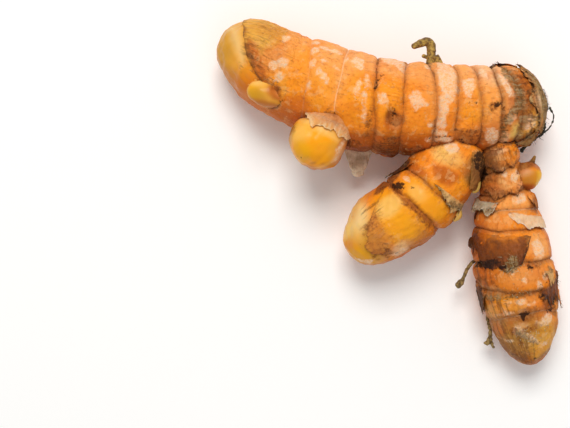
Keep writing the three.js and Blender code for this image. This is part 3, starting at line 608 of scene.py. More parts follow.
# %% Where each wash lies
CLEAR_FILM = [(86.2, 4), (83.6, -9), (79.4, -23), (75.2, -29), (74.6, -23), (77.4, -12), (80.2, 0),
              (83, 12), (86.6, 18)]     # on the mother rhizome's tip
KNOB_BACK = [(4.4, 50), (3.2, 14), (4, -12), (6, -17), (7.2, 5), (7, 30)]
WASHES = {      # by limb, in painting order: pigment, strength, soft edge in mm, shape
    "mother": [
        ("peach", 0.7, 5, (38, 70, 30, 8)), ("peach", 0.6, 5, (60, 30, 7, 10)),
        ("peach", 0.5, 4, (20, 26, 7, 9)), ("peach", 0.4, 4, (33, 30, 4, 8)),
        ("rose", 0.35, 4, (20, -40, 6, 5)), ("peach", 0.45, 4, (51, 50, 4, 6)),
        ("rose", 0.35, 3, (47, 80, 4, 4)), ("amber", 0.4, 3, (53, 14, 3, 4)),
        ("peach", 0.5, 4, (74, 34, 5, 8)), ("amber", 0.6, 3, (24, 0, 3.4, 5)),
        ("amber", 0.6, 3, (45, 4, 4, 5)), ("amber", 0.7, 4, (52, 0, 4, 6)),
        ("amber", 0.45, 3, (69, 0, 5, 8)), ("amber", 0.7, 3, (61, -6, 3.5, 6)),
        # The long rust wash at -64 degrees and the umber at -100 darken the mother's lower side: partly
        # browner old skin, partly painted shade.
        ("rust", 0.5, 3, (65, -44, 5, 4)), ("rust", 0.85, 4, (40, -64, 30, 6)),
        ("umber", 0.75, 5, (36, -100, 30, 8)), ("blush", 0.6, 2.5, (18.5, 58, 4, 6)),
        ("blush", 0.5, 1.6, (14.2, 30, 1.6, 6)), ("rose", 0.6, 2, (18.8, -42, 3, 4)),
        ("rose", 0.5, 1.5, (15, -20, 1.4, 3)), ("rose", 0.6, 1.6, (14.6, 26, 1.2, 5)),
        ("blush", 0.4, 1.6, (14.2, -8, 1.2, 3)), ("umber", 0.5, 1.2, (12.2, -14, 0.8, 5)),
        ("clay", 0.85, 3, (11.4, 12, 3.4, 9)), ("clay", 0.5, 2.5, (14.6, -2, 1.6, 6)),
        ("bark", 0.45, 3, (10.0, -44, 3, 5)), ("tan", 0.9, 1.8, (9.4, -26, 2.6, 3.2)),
        ("cream", 0.6, 1.4, (9.6, -27, 1.8, 2.4)), ("ash", 0.85, 2, (3, 20, 4.4, 16)),
        ("olive", 0.5, 2, (1, -60, 4, 12)), ("blush", 0.6, 1.2, (6.8, 0, 1.6, 3.2)),
        ("lemon", 0.6, 1.0, (7.4, -26, 1.6, 2.0)), ("lemon", 0.85, 1.2, (12.6, -37, 1.6, 2.6)),
        ("blush", 0.7, 1.2, (15.8, -46, 1.2, 2.0)), ("tan", 0.9, 8, (91, 0, 10, 26)),
        ("ochre", 0.7, 4, (93.6, 4, 5, 16)),
        # The ivory band on the growing tip, beside the tip scale's edge, is a painted highlight.
        ("ivory", 0.65, 3.6, [(91.2, 60), (89, 24), (86.8, -2), (83.6, -20), (84.6, -26), (88, -10),
            (90, 10), (91.8, 46)]),
        ("amber", 0.6, 6, (78, -40, 7, 6)), ("rust", 0.55, 6, (79, -78, 13, 8)),
        ("tan", 0.85, 1.6, [(86.6, 47), (84.4, 80), (78.6, 64), (76.6, 34), (78.4, 14), (83.4, 8)]),
        ("rose", 0.5, 3, (77, 4, 4, 4)),
        ("clay", 0.85, 1.6, CLEAR_FILM),
        ("clay", 0.9, 0.8, (71.7, -29, 1.2, 1.4)), ("umber", 0.85, 0.5, (71.7, -29, 0.4, 0.5)),
        ("clay", 0.8, 2, (24.8, -48, 3.2, 4.0)), ("umber", 0.8, 2, (43, -72, 5, 4)),
        ("umber", 0.75, 2, (48, -82, 7, 4)), ("umber", 0.6, 2, (28, -72, 4, 4)),
        ("rust", 0.75, 1.4, (43.2, -20, 2.2, 2.8)), ("umber", 0.85, 0.9, (44.4, -14, 0.7, 1.8)),
        ("rose", 0.85, 1, (42.4, -24, 1.1, 1.2)),
    ],
    "finger_2": [
        ("amber", 0.35, 3, (37, 20, 2, 4)), ("bark", 0.8, 2, (8, 48, 8, 5)),
        ("rust", 0.7, 2.5, (15, 70, 5, 4)), ("amber", 0.8, 1.0, (10.6, -14, 1.8, 2.4)),
        ("clay", 0.7, 2, (12.4, 36, 3, 4)), ("rose", 0.7, 1.2, (14, 34, 2, 2.4)),
        ("blush", 0.7, 0.8, (4.4, 10, 0.8, 2.4)), ("umber", 0.6, 2, (6, 80, 7, 4)),
        ("peach", 0.8, 1.4, (11.0, -8, 2.6, 3.0)), ("clay", 0.5, 1, (6.4, -8, 1.6, 2.2)),
        ("blush", 0.6, 1, (13.2, -38, 1.2, 1.6)), ("umber", 0.5, 2, (14.6, 66, 3, 4)),
        ("peach", 0.6, 2.5, (17.4, -12, 2.6, 6)), ("rose", 0.5, 2, (21.8, 40, 2.4, 5)),
        ("clay", 0.7, 1.2, (18.8, -62, 2.6, 2.6)), ("rust", 0.7, 3, (28, 74, 9, 5)),
        ("peach", 0.7, 2.5, (30, -36, 3.4, 4)), ("clay", 0.5, 4, (37, 16, 4, 9)),
        ("clay", 0.35, 3, (45, 10, 4, 8)), ("ochre", 0.4, 3, (45, 40, 5, 7)),
        ("clay", 0.55, 3, (41, 70, 9, 5)), ("peach", 0.4, 2, (44, 12, 1.6, 5)),
        ("rust", 0.45, 1.6, (47, 34, 1.4, 5)), ("cream", 0.4, 2, (45.6, 60, 2.4, 3)),
        ("umber", 0.4, 1.6, (38.4, 70, 1.4, 4)), ("peach", 0.4, 3, (37, -8, 2.4, 6)),
        ("rust", 0.4, 2, (36.6, 52, 2.6, 4)), ("amber", 0.4, 2, (43.6, 30, 2.4, 4)),
        ("rust", 0.7, 2, (45.6, -38, 3.4, 3.0)), ("bark", 0.75, 3, (50, 22, 4, 8)),
        ("ash", 0.6, 3, (54.8, 20, 2.4, 7)), ("ivory", 0.7, 1.6, (55.0, -2, 1.0, 4.4)),
        ("ivory", 0.7, 1.4, (50.8, -24, 1.0, 2.6)), ("blush", 0.6, 1.2, (50.6, 14, 1.4, 1.8)),
        ("ochre", 0.7, 4, (57, 0, 7, 12)), ("bark", 0.6, 4, (54, 92, 9, 6)),
        ("bark", 0.5, 4, (54, -92, 9, 6)), ("tan", 0.7, 3.4, (57.4, -34, 4, 4)),
        ("bark", 0.6, 3, (56.5, 44, 5, 4)), ("rust", 0.5, 3, (35, -85, 12, 4)),
        ("umber", 0.4, 3, (56, 90, 7, 4)), ("umber", 0.6, 2.4, (61.4, 56, 3.6, 4.5)),
        ("umber", 0.6, 2, (61, -70, 3, 4)),
    ],
    "knob": [
        ("rose", 0.6, 2.5, (4, 0, 5, 9)),
        ("clay", 0.75, 1.2, KNOB_BACK),
        ("rust", 0.7, 2, (6, -75, 4, 3)), ("rust", 0.6, 2, (4, 85, 4, 3)),
        ("tan", 0.8, 1.0, (9.2, 5, 1.1, 9)), ("gold", 1.0, 1.2, (16.5, 0, 6, 40)),
        ("lemon", 0.5, 2.4, (13.6, 48, 2.6, 3.6)), ("sun", 0.6, 2, (17.6, 20, 2.6, 3.4)),
        ("tan", 0.6, 1.5, (12, -52, 2.6, 3.4)), ("cream", 0.85, 0.9, (10.4, 20, 0.7, 8)),
        ("cream", 0.5, 1.6, (16.6, -66, 2.4, 1.8)), ("rust", 0.5, 1.6, (21.0, -60, 3, 5)),
        ("ochre", 0.6, 1.6, (14.5, 78, 3, 3)), ("rose", 0.85, 1.6, (9.6, -62, 4, 3)),
        ("blush", 0.6, 1.2, (13.0, -68, 2.2, 2)), ("clay", 0.5, 0.8, (17.6, -30, 0.6, 0.7)),
        ("clay", 0.45, 0.8, (16.4, -48, 0.5, 0.6)), ("rust", 0.5, 2, (16, -95, 5, 4)),
    ],
    "finger_1": [
        # The cream oval and outline on top of the finger's base, 6 to 11 mm along, are a painted highlight.
        ("cream", 0.7, 2, (8.2, 10, 2.4, 4.6)), ("gold", 0.8, 3, (20, -5, 5, 8)),
        ("cream", 0.6, 1.2, [(9.6, 36), (7, 20), (6.2, -4), (8.6, -14), (10.4, 2), (11, 22)]),
        ("rust", 0.75, 1.4, [(11.8, 21), (10.8, 0), (10.4, -25), (11, -36), (14, -20), (14.6, -5),
            (13.4, 13)]),
        ("umber", 0.85, 1.0, [(16.6, 90), (13.0, 84), (15.6, 62), (20, 56), (27, 52), (30, 60), (26, 90)]),
        ("rust", 0.6, 2.5, (12, 64, 6, 3)), ("rust", 0.6, 2, (13, -76, 5, 3)),
        ("gold", 0.9, 3, (29, 0, 6, 9)), ("cream", 0.7, 2, (28.6, 24, 4, 2.6)),
        ("cream", 0.5, 2, (20.4, 12, 2, 2.6)), ("rose", 0.75, 2, (36.4, -34, 3.2, 3.4)),
        ("blush", 0.7, 2, (32.4, -48, 3.0, 2.8)),
        ("rust", 0.7, 0.8, [(39.6, -14), (37.6, -38), (38.4, -40), (40.4, -16)]),
        ("umber", 0.7, 0.8, [(24.6, 32), (23.3, 12), (22.9, -10), (23.0, -44), (23.8, -44), (23.8, -10),
            (24.2, 12)]),
        ("tan", 0.8, 4, (38.6, 36, 5, 6)), ("ivory", 0.9, 4, (38.5, 58, 5, 6)),
        ("ochre", 0.5, 3, (43.6, 0, 4, 8)), ("cream", 0.4, 3, (40, 20, 2.4, 4)),
        ("sun", 0.6, 3, (42, -44, 4, 6)), ("ochre", 0.45, 4, (41, -84, 7, 6)),
        ("tan", 0.7, 4, (40, 96, 8, 7)), ("rust", 0.5, 3, (36, -88, 8, 4)),
        ("amber", 0.7, 2, (12, -40, 3, 2)), ("bark", 0.9, 1.6, (6.6, -46, 4.4, 3.2)),
        ("olive", 0.7, 1.6, (7.4, -60, 4, 2.4)), ("ochre", 0.6, 3, (37.8, -16, 3, 5)),
        ("rust", 0.8, 1, (15.0, 40, 1.0, 4)), ("lemon", 0.5, 2, (43, 70, 3, 6)),
        ("rust", 0.6, 3, (25, -92, 8, 4)),
    ],
    "oval_bud": [
        # The cream oval on the bud's upper side is a painted highlight, and the clay oval along its lower
        # side is painted shade.
        ("tan", 1.0, 1, (6, 0, 9, 20)), ("cream", 0.9, 2.0, (8.0, 46, 2.2, 1.7)),
        ("sun", 0.9, 1.8, (8.2, -24, 2.2, 2.6)), ("ochre", 0.65, 1.6, (6.6, -14, 1.7, 1.5)),
        ("clay", 0.75, 1.6, (4.6, -64, 4.0, 1.6)), ("clay", 0.9, 1.2, (3.0, 16, 2.0, 2.4)),
        ("rose", 0.8, 0.8, (2.8, 10, 0.9, 1.1)), ("umber", 0.5, 0.6, (4.2, 30, 0.4, 0.8)),
    ],
    "horn_bud": [
        ("lemon", 0.9, 1.0, (7, 0, 2.2, 6)), ("cream", 0.5, 2, (4, 20, 2, 3)),
    ],
    "olive_bud": [
        ("lemon", 0.95, 1.0, (7.5, 0, 3.0, 6)),
    ],
    "side_bud": [
        ("clay", 0.85, 2, (2.4, 0, 3.4, 8)), ("ochre", 0.7, 1.5, (6.4, 24, 2.6, 2.8)),
        ("bark", 0.95, 1.6, (5.0, -84, 4.6, 3.6)), ("rust", 0.95, 1.6, (4.0, 72, 4.0, 2.6)),
        ("umber", 0.9, 1.2, (2.8, 60, 2.2, 1.8)), ("sun", 1.0, 2.0, (8.8, 24, 2.2, 3.8)),
        # The faint blush oval in the middle of the bud is a painted highlight.
        ("lemon", 0.45, 2.6, (9.0, 40, 1.8, 2.6)), ("blush", 0.3, 1.2, (5.0, -12, 1.0, 0.9)),
        ("clay", 0.35, 1.4, (6.0, 8, 1.6, 1.6)), ("rust", 0.6, 1.2, (7.4, -48, 2.0, 1.4)),
    ],
    "side_thorn": [
        ("olive", 0.95, 1, (2.4, 0, 4, 8)),
    ],
    "shoulder_bud": [
        ("umber", 0.8, 2, (5, 0, 6, 8)),
    ],
    "under_bulge": [
        ("rust", 0.85, 2, (5, 0, 7, 9)), ("umber", 0.7, 2, (7, -60, 5, 5)),
    ],
    "dark_bud": [
        ("soot", 0.95, 1, (2, 0, 5, 8)),
    ],
}
UNDERSIDE = [       # pigment, strength and soft edge of the hidden washes, taken in turn
    ("rust", 0.45, 4), ("umber", 0.35, 3), ("peach", 0.5, 3), ("clay", 0.5, 2.5),
]
HIDDEN_WASHES = (21, 60)        # seed and count
HIDDEN_ALONG = (0.08, 0.95)     # share of the limb's length
HIDDEN_TURN = 78                # degrees to each side of straight down
HIDDEN_HALF = (0.3, 1.9)        # mm along the limb
STRETCH = (1.2, 4.0)            # how much longer a hidden oval is round the limb
CROWDED = ("mother", "mother", "finger_2", "finger_1", "knob")      # large limbs, the largest twice


def hidden_ovals(seed, count):
    """Pairs of a large limb and an oval at random on its sides or underside, from a fixed seed. Each
    is stretched round the limb, as marks on a ringed stem are."""
    draw = np.random.default_rng(seed)
    ovals = []
    for _ in range(count):
        limb_name = CROWDED[draw.integers(len(CROWDED))]
        at = draw.uniform(*HIDDEN_ALONG) * LIMBS[limb_name].length
        half = draw.uniform(*HIDDEN_HALF)
        turn = 180 + draw.uniform(-HIDDEN_TURN, HIDDEN_TURN)
        ovals.append((limb_name, (at, turn, half, half * draw.uniform(*STRETCH))))
    return ovals


def washed(place):
    """Each wash mixes its pigment in by strength x smoothstep((field + soft / 2) / soft)."""
    colour = np.tile(np.array(linear(PIGMENTS["orange"])[:3]), (len(place.along), 1))
    layers = [(limb_name, *wash) for limb_name, washes in WASHES.items() for wash in washes]
    for i, (limb_name, oval) in enumerate(hidden_ovals(*HIDDEN_WASHES)):
        layers.append((limb_name, *UNDERSIDE[i % len(UNDERSIDE)], oval))
    for limb_name, pigment, strength, soft, shape in layers:
        weight = np.clip(shape_field(place, limb_name, shape) / soft + 0.5, 0, 1)
        weight = strength * weight * weight * (3 - 2 * weight)
        colour += weight[:, None] * (np.array(linear(PIGMENTS[pigment])[:3]) - colour)
    return colour


print(sum(len(washes) for washes in WASHES.values()), "washes in", len(PIGMENTS), "pigments")

# %% [markdown]
# ## Marks with a broken edge
#
# Then come the marks that have an edge: film worn off, brown film left on, felt of dead fibres,
# soil. One thin band among the worn patches is a painted highlight, and a few of the soil ovals
# are painted shade in the crevice between the two fingers. Each kind is one field, the highest of
# its shapes, and the material breaks its edge up.

# %% Where each mark lies
MARKS = {       # by kind and limb
    # Pale flesh where the film has gone, and one painted highlight.
    "rubbed": {    # the outer film has gone, and pale flesh shows
        "mother": [
            [(48.6, 84), (44, 86), (41.2, 80), (40.8, 52), (42, 44), (44, 56), (47.6, 58)],
            # This thin band across the mother, just past its ring at 48.2 mm, is a painted highlight.
            [(51.6, 30), (50.8, 30), (49.8, -2), (49.4, -26), (50.2, -24), (50.8, 4)],
            [(47.8, 10), (46, 10), (45.2, 2), (46, -4), (47.2, -1)],
            [(40.4, 9), (39, 17), (37.4, 16), (36.6, 9), (35.2, 4), (35.2, -1), (37, -2), (38, -7),
                (39.2, 0)],
            [(31.6, 84), (28.6, 72), (27.8, 52), (27.8, 24), (28.6, 12), (30.2, 10), (31.6, 16),
                (32.6, 34)],
            [(26.6, 38), (23.6, 40), (23.8, 24), (25, 12), (26.4, 13), (26.8, 24)],
            [(32.8, 12), (31, 17), (29.4, 10), (30.6, -8), (30.6, -26), (32.4, -32), (33.2, -22),
                (32.6, -6)],
            [(17.2, 52), (15.4, 44), (13.8, 27), (12.8, 10), (15.2, 10), (16.2, 27), (17.2, 39)],
            [(15.4, -11), (14.0, -10), (13.4, -16), (14.2, -24), (15.2, -27), (15.8, -20)],
            [(21, -30), (18.4, -30), (17.2, -42), (17.2, -56), (19.4, -56), (21, -41)],
            (32.6, -33, 1.6, 1.0), (30.8, -36, 0.9, 0.8), (33.8, -44, 1.6, 0.7), (30.0, -44, 1.5, 0.9),
            (34.6, -24, 0.7, 0.7), (67.2, 44, 1.0, 1.4), (65.2, 52, 1.8, 0.8), (61.6, 52, 1.4, 0.9),
            (66.0, 24, 0.8, 1.6), (62.6, 30, 1.6, 0.5), (59.6, 26, 0.9, 0.5), (63.6, 14, 0.9, 1.0),
            (61.0, 10, 0.9, 0.5), (64.2, -6, 0.7, 1.4), (60.2, 4, 0.6, 0.5), (58.2, 44, 0.6, 1.2),
            (68.6, 60, 1.2, 1.0), (76.8, 44, 1.5, 1.8), (73.2, 8, 1.5, 1.3), (75.6, -2, 1.3, 1.2),
            (72.4, -12, 1.2, 1.4), (54.6, 46, 1.8, 1.6), (52.6, 12, 0.6, 1.6), (53.4, 38, 1.2, 1.2),
            (34.8, 60, 0.8, 1.4), (20.4, 50, 1.0, 2.2), (6.6, 4, 1.0, 1.6), (9.8, -26, 1.8, 2.2),
        ],
        "knob": [(11.6, -50, 1.4, 1.0), (13.4, -60, 1.0, 0.8), (8.4, 30, 0.7, 3.4), (8.4, -16, 0.6, 3.0)],
        "finger_1": [
            (6.0, 14, 1.4, 2.0), (19.6, 40, 1.0, 1.4), (33.0, -60, 2.2, 1.2), (41.6, -52, 1.8, 1.4),
            (33.4, -54, 2.2, 1.6),
        ],
        "finger_2": [
            [(48.8, 27), (50.2, 17), (52.4, 9), (54, -1), (55.2, -12), (56.8, -18), (56, -4), (55, 8),
                (53.8, 20), (51.6, 29)],
            (10.8, -18, 1.0, 0.9), (9.6, 2, 1.0, 0.6), (16.0, -24, 1.2, 2.0), (30.8, -34, 2.4, 1.8),
            (40.6, -24, 1.2, 0.9), (38.6, -34, 1.6, 0.9), (43.6, 10, 0.7, 1.8), (36.0, 12, 0.5, 0.7),
            (38.4, -4, 0.6, 0.5), (44.6, -6, 0.5, 0.9), (49.6, -34, 1.3, 1.4), (46.0, 30, 0.4, 3.0),
            (51.8, 26, 1.1, 1.0), (50.2, -22, 1.2, 1.8), (56.4, -26, 0.6, 1.2), (54.4, 44, 0.5, 0.9),
            (50.8, -18, 0.5, 0.9), (9.8, -34, 0.8, 1.2),
        ],
    },
    "browned": {   # a brown film is left on
        "mother": [
            [(86.2, 6), (84.2, -8), (80.2, -21), (76.4, -28), (76.2, -27), (79.6, -17), (83, -4),
                (85.2, 8)],
            [(28, -32), (26, -29), (23.6, -31), (21.6, -37), (21.4, -54), (22.4, -72), (25, -72),
                (27.4, -48)],
            [(47.2, -52), (44.4, -42), (41.4, -40), (40.2, -48), (40, -68), (42.4, -86), (47, -76)],
            (43.0, -18, 1.8, 1.8), (10.0, 26, 1.6, 4.6), (16.8, -24, 0.7, 5.0), (48.6, -30, 0.7, 4.5),
            (19.6, 0, 1.0, 1.6), (30.0, -64, 3.0, 2.6), (33.4, -40, 0.4, 2.6), (31.6, -50, 1.8, 0.5),
            (36.4, -62, 2.0, 1.6), (52.0, -60, 2.4, 2.0), (60.0, -62, 2.4, 2.0), (12.4, -2, 0.8, 2.2),
            (12.0, 34, 0.7, 3.4), (12.6, -22, 0.6, 2.6), (71.7, -29, 0.9, 1.0), (57.6, -40, 0.6, 3.4),
            (61.6, -44, 2.0, 0.6), (11.0, 8, 2.6, 7.0),
        ],
        "finger_2": [
            [(38.2, 84), (37.2, 60), (38.6, 40), (40.8, 26), (42.4, 8), (42.4, -14), (41.2, -14),
                (41.4, 8), (39.6, 26), (37.6, 42), (36.4, 60), (37.2, 84)],
            [(6.4, 76), (6.8, 14), (9.2, 10), (11.4, 26), (11.4, 76)],
            [(11.6, 96), (10.8, 72), (12.8, 20), (14.6, 1), (16.8, 24), (18.2, 42), (18.8, 96)],
            [(41.4, -22), (41.8, -40), (44, -66), (50.4, -60), (48.2, -36), (45.4, -22)],
            (46.6, -2, 1.2, 2.4), (2.6, 40, 2.4, 5.0), (18.8, -62, 2.0, 2.0), (27.0, 80, 4.0, 2.6),
            (44.0, -30, 1.0, 1.4), (47.8, 4, 1.2, 1.8), (35.0, -24, 0.8, 2.4), (32.6, 30, 1.2, 5.0),
            (47.6, 8, 1.2, 2.4), (51.4, 30, 1.2, 1.4), (51.4, 4, 0.8, 2.0), (50.8, -10, 0.6, 1.4),
            (54.4, 26, 1.4, 1.0),
        ],
        "knob": [KNOB_BACK, (5.2, 30, 0.6, 5.0)],
        "finger_1": [
            [(24.6, 58), (22, 46), (20.6, 34), (22.2, 27), (24.2, 28), (24.8, 42)],
            [(16.6, 90), (13.6, 84), (16.4, 64), (22, 57), (27, 52), (30, 58), (26, 90)],
            [(25, 34), (23.4, 12), (22.6, -10), (22.8, -48), (24.2, -48), (24.4, -10), (25, 12)],
            (17.0, -60, 1.0, 3.0), (38.8, -30, 0.7, 3.2), (36.6, -44, 0.6, 2.0), (38.4, -18, 0.7, 2.0),
            (36.4, -30, 1.6, 2.6), (35.0, 22, 2.6, 0.7), (36.2, 12, 2.4, 0.6),
        ],
        "side_bud": [(2.0, 0, 2.2, 3.0), (4.6, -64, 3.0, 2.2), (3.0, 66, 2.4, 1.6)],
        "oval_bud": [(0.8, 0, 1.4, 2.4)],
    },
    # Near-black soil, and painted shade in the crevice between the two fingers.
    "soiled": {    # near-black soil or rot
        "mother": [
            [(19.6, -2), (18.8, 4), (17, 5), (17, 3), (18.6, -2)],
            [(17.0, 3), (16.6, 3), (16.2, -8), (16.6, -16), (17.0, -8)],
            [(34.4, -43), (31.6, -38.5), (29.2, -38.5), (31.6, -40.5)],
            [(48.9, 12), (48.4, 18), (48.7, 24), (47.9, 29), (46.7, 34), (46.5, 33), (47.6, 27.6),
                (48.2, 23), (48.0, 18), (48.4, 11)],
            (24.4, 5, 0.8, 0.25), (43.4, -13, 0.4, 1.1), (15.4, -58, 1.4, 1.2), (26.6, -46, 0.4, 1.4),
            (16.0, 80, 1.4, 1.6), (12.2, 86, 2.4, 1.4), (13.6, -64, 2.6, 1.8), (5.8, 48, 0.4, 0.9),
            (3.6, 10, 0.3, 0.8), (53.2, 12, 0.15, 0.15), (70.6, 6, 0.15, 0.15), (68.4, 24, 0.18, 0.18),
        ],
        "finger_1": [
            [(24.4, 56), (22.4, 46), (21, 36), (22.2, 30), (23.6, 34), (24.4, 44)],
            # The ovals at 3 to 10 mm, turned -50 to -98 degrees towards finger_2, are painted shade in the
            # crevice between the fingers.
            (20.2, 22, 0.5, 0.35), (4.4, -78, 3.8, 4.8), (9.4, -98, 3.6, 2.6), (3.4, -66, 2.4, 2.0),
            (4.8, -50, 2.4, 3.2),
        ],
        "finger_2": [
            [(34.2, 84), (32.4, 74), (31.8, 60), (32.6, 46), (33.4, 36), (34.4, 40), (34.2, 56)],
            [(46.6, 16), (46.2, 8), (46.8, -2), (47.4, 0), (47.4, 7), (49.2, 9), (49.0, 13), (47.2, 12)],
            # The first two ovals, by the base and turned towards finger_1, are painted shade in the crevice
            # between the fingers.
            (4.0, 84, 4.0, 3.2), (8.8, 86, 3.0, 2.8), (33.8, 44, 0.7, 2.0), (34.4, 24, 0.5, 1.4),
            (32.5, 38, 0.9, 2.0), (48.0, -46, 0.6, 1.6), (40.6, -30, 0.3, 1.4), (35.2, -13, 0.6, 0.9),
            (46.4, -52, 1.2, 0.7), (43.4, -24, 0.5, 0.6), (60.4, -8, 0.25, 0.25), (20.4, 84, 1.4, 1.0),
            (28.4, 90, 2.0, 1.0),
        ],
        "knob": [
            (14.6, 40, 0.24, 0.26), (18.6, 30, 0.22, 0.24), (18.2, 14, 0.14, 0.14), (13.2, -24, 0.2, 0.16),
        ],
    },
    "felted": {    # grey-green felt of dead fibres
        "mother": [
            [(13.6, 76), (12.6, 66), (12.4, 40), (11, 22), (11.2, 5), (12, -8), (14, -16), (15.2, -30),
                (15.2, -46), (16, -54), (16.8, -32), (16.2, -14), (15.2, -7), (13.8, 1), (13, 15),
                (14.2, 32), (15.4, 48)],
            [(16.6, -26), (15.9, -20), (15.2, -26), (15.4, -34), (16.1, -38)],
            (2.6, 30, 3.2, 13.0), (5.6, 60, 2.2, 5.0), (9.4, -44, 1.0, 1.6), (41.0, 84, 0.5, 1.5),
            (33.6, 78, 0.5, 1.8), (48.8, 70, 0.4, 1.6),
        ],
        "finger_1": [
            [(16.8, -28), (16.2, -42), (15.8, -76), (16.8, -80), (17.4, -46)],
            (15.8, 66, 0.4, 0.8),
        ],
        "finger_2": [
            [(33, 19), (30.8, 9), (32.2, 2), (35.4, 4), (36.8, 16), (35.4, 23)],
            [(50.6, 27), (52.8, 12), (54.6, 0), (56, -14), (56.4, -10), (55.6, 4), (53.8, 18), (51.8, 28)],
            (52.6, 16, 0.7, 1.6), (41.8, 14, 0.35, 3.0), (41.4, 50, 0.6, 4.0), (37.0, -48, 1.0, 1.2),
            (18.6, 56, 0.7, 4.0),
        ],
    },
    "waxy": {      # young skin, smooth and even
        "mother": [(93, 0, 9, 40), (84, -50, 8, 6)],
        "knob": [(18, 0, 9, 40)],
        "finger_1": [(43, 30, 6, 40), (37, 70, 7, 8), (21, 0, 3, 8), (28, 10, 3, 10)],
        "oval_bud": [(8, 0, 8, 20)],
        "horn_bud": [(7, 0, 5, 20)],
        "olive_bud": [(7, 0, 5, 20)],
        "side_bud": [(9, 0, 5, 20)],
    },
    "bared": {     # the dry scale that lies here is thin and clear
        "mother": [
            CLEAR_FILM,
            (75.4, 8, 5.0, 9.0), (74.0, 44, 4.4, 7.0), (75.4, -24, 4.4, 4.0), (72.6, -32, 2.4, 3.0),
            (7.4, 10, 1.8, 9.0), (6.2, -30, 2.2, 2.8), (6.6, 52, 2.4, 4.0), (9.0, -27, 2.6, 2.8),
        ],
        "finger_1": [(28.4, 6, 4.6, 8.0), (27.0, 40, 4.0, 4.0), (34.0, -44, 3.4, 4.0)],
        "finger_2": [
            (6.8, -22, 4.0, 3.6), (12.4, -26, 4.0, 4.6), (12.4, 36, 2.4, 3.0), (15.0, -40, 3.0, 3.0),
        ],
    },
    "streaked": {  # brown threads of old veins
        "mother": [
            (80, -8, 5, 3), (72, -24, 3, 2), (84, 30, 3, 10), (9.4, -20, 3, 10), (12, 60, 2, 6),
            (43, -66, 5, 4),
        ],
        "finger_2": [
            (55, 22, 4, 3), (57, 40, 6, 5), (50, 64, 6, 4), (36.4, 62, 3, 5), (44, 34, 3, 4),
            (5, 30, 4, 6), (41, 60, 3, 5),
        ],
        "finger_1": [(35.4, 20, 3.4, 2.0), (33, 36, 3, 3)],
    },
}
HIDDEN_MARKS = {        # seed and count of the marks at random; the underside has no young skin
    "rubbed": (31, 26), "browned": (32, 26), "soiled": (33, 2), "felted": (34, 8), "streaked": (36, 12),
}
GRAIN_RADIUS = 10       # mm, of the drum that the threads' pattern is wound on


def paint(piece, place):
    """Gives a piece every attribute that the skin's material reads."""
    for name, by_limb in MARKS.items():
        marks = [(limb_name, shape) for limb_name, shapes in by_limb.items() for shape in shapes]
        marks += hidden_ovals(*HIDDEN_MARKS.get(name, (0, 0)))
        set_attribute(piece, name, np.max([shape_field(place, *mark) for mark in marks], axis=0))
    columns = 1 + max(len(limb.rings) for limb in LIMBS.values())
    for trait, column in {"ring_stain": STAIN, "ring_bleach": BLEACH, "ring_felt": FELT}.items():
        table = np.zeros((len(NAMES), columns))
        for i, limb in enumerate(LIMBS.values()):
            table[i, 1:len(limb.rings) + 1] = [ring[column] for ring in limb.rings]
        set_attribute(piece, trait, table[place.owner, place.ring])
    set_attribute(piece, "wash", washed(place))
    set_attribute(piece, "ring_gap", place.ring_gap)
    set_attribute(piece, "fork", place.fork)
    grain = [GRAIN_RADIUS * np.cos(place.turn), GRAIN_RADIUS * np.sin(place.turn), place.along]
    set_attribute(piece, "grain", np.stack(grain, axis=-1))


paint(flesh, place)
print({name: sum(map(len, by_limb.values())) for name, by_limb in MARKS.items()}, "marks")

# %% [markdown]
# ## Materials
#
# Colours are written as they look on a screen and turned to linear light once, by the sRGB curve.
# Pattern sizes are given in millimetres, and heights of relief too, so each can be checked with a
# ruler. A recipe holds one material while it is built: `add` adds any node, `ragged` gives a soft
# field a broken edge, and `coat` lays a pigment over a colour, so a finish reads as a list of coats.
# The three numbers of `ragged` are how far the breakup shifts the field and where the step starts
# and ends, in the field's own unit, which is the millimetre for a mark.

# %% A material as a list of coats
COLOUR_A, COLOUR_B, COLOUR_OUT = 6, 7, 2        # sockets of the Mix node when it mixes colours
NUMBER_A, NUMBER_B = 2, 3                       # and when it mixes numbers
RED_GOES_DEEPEST = (1.0, 0.36, 0.12)            # how far each colour of light spreads under the skin
LIGHT_SPREAD = 0.9                              # mm, for red


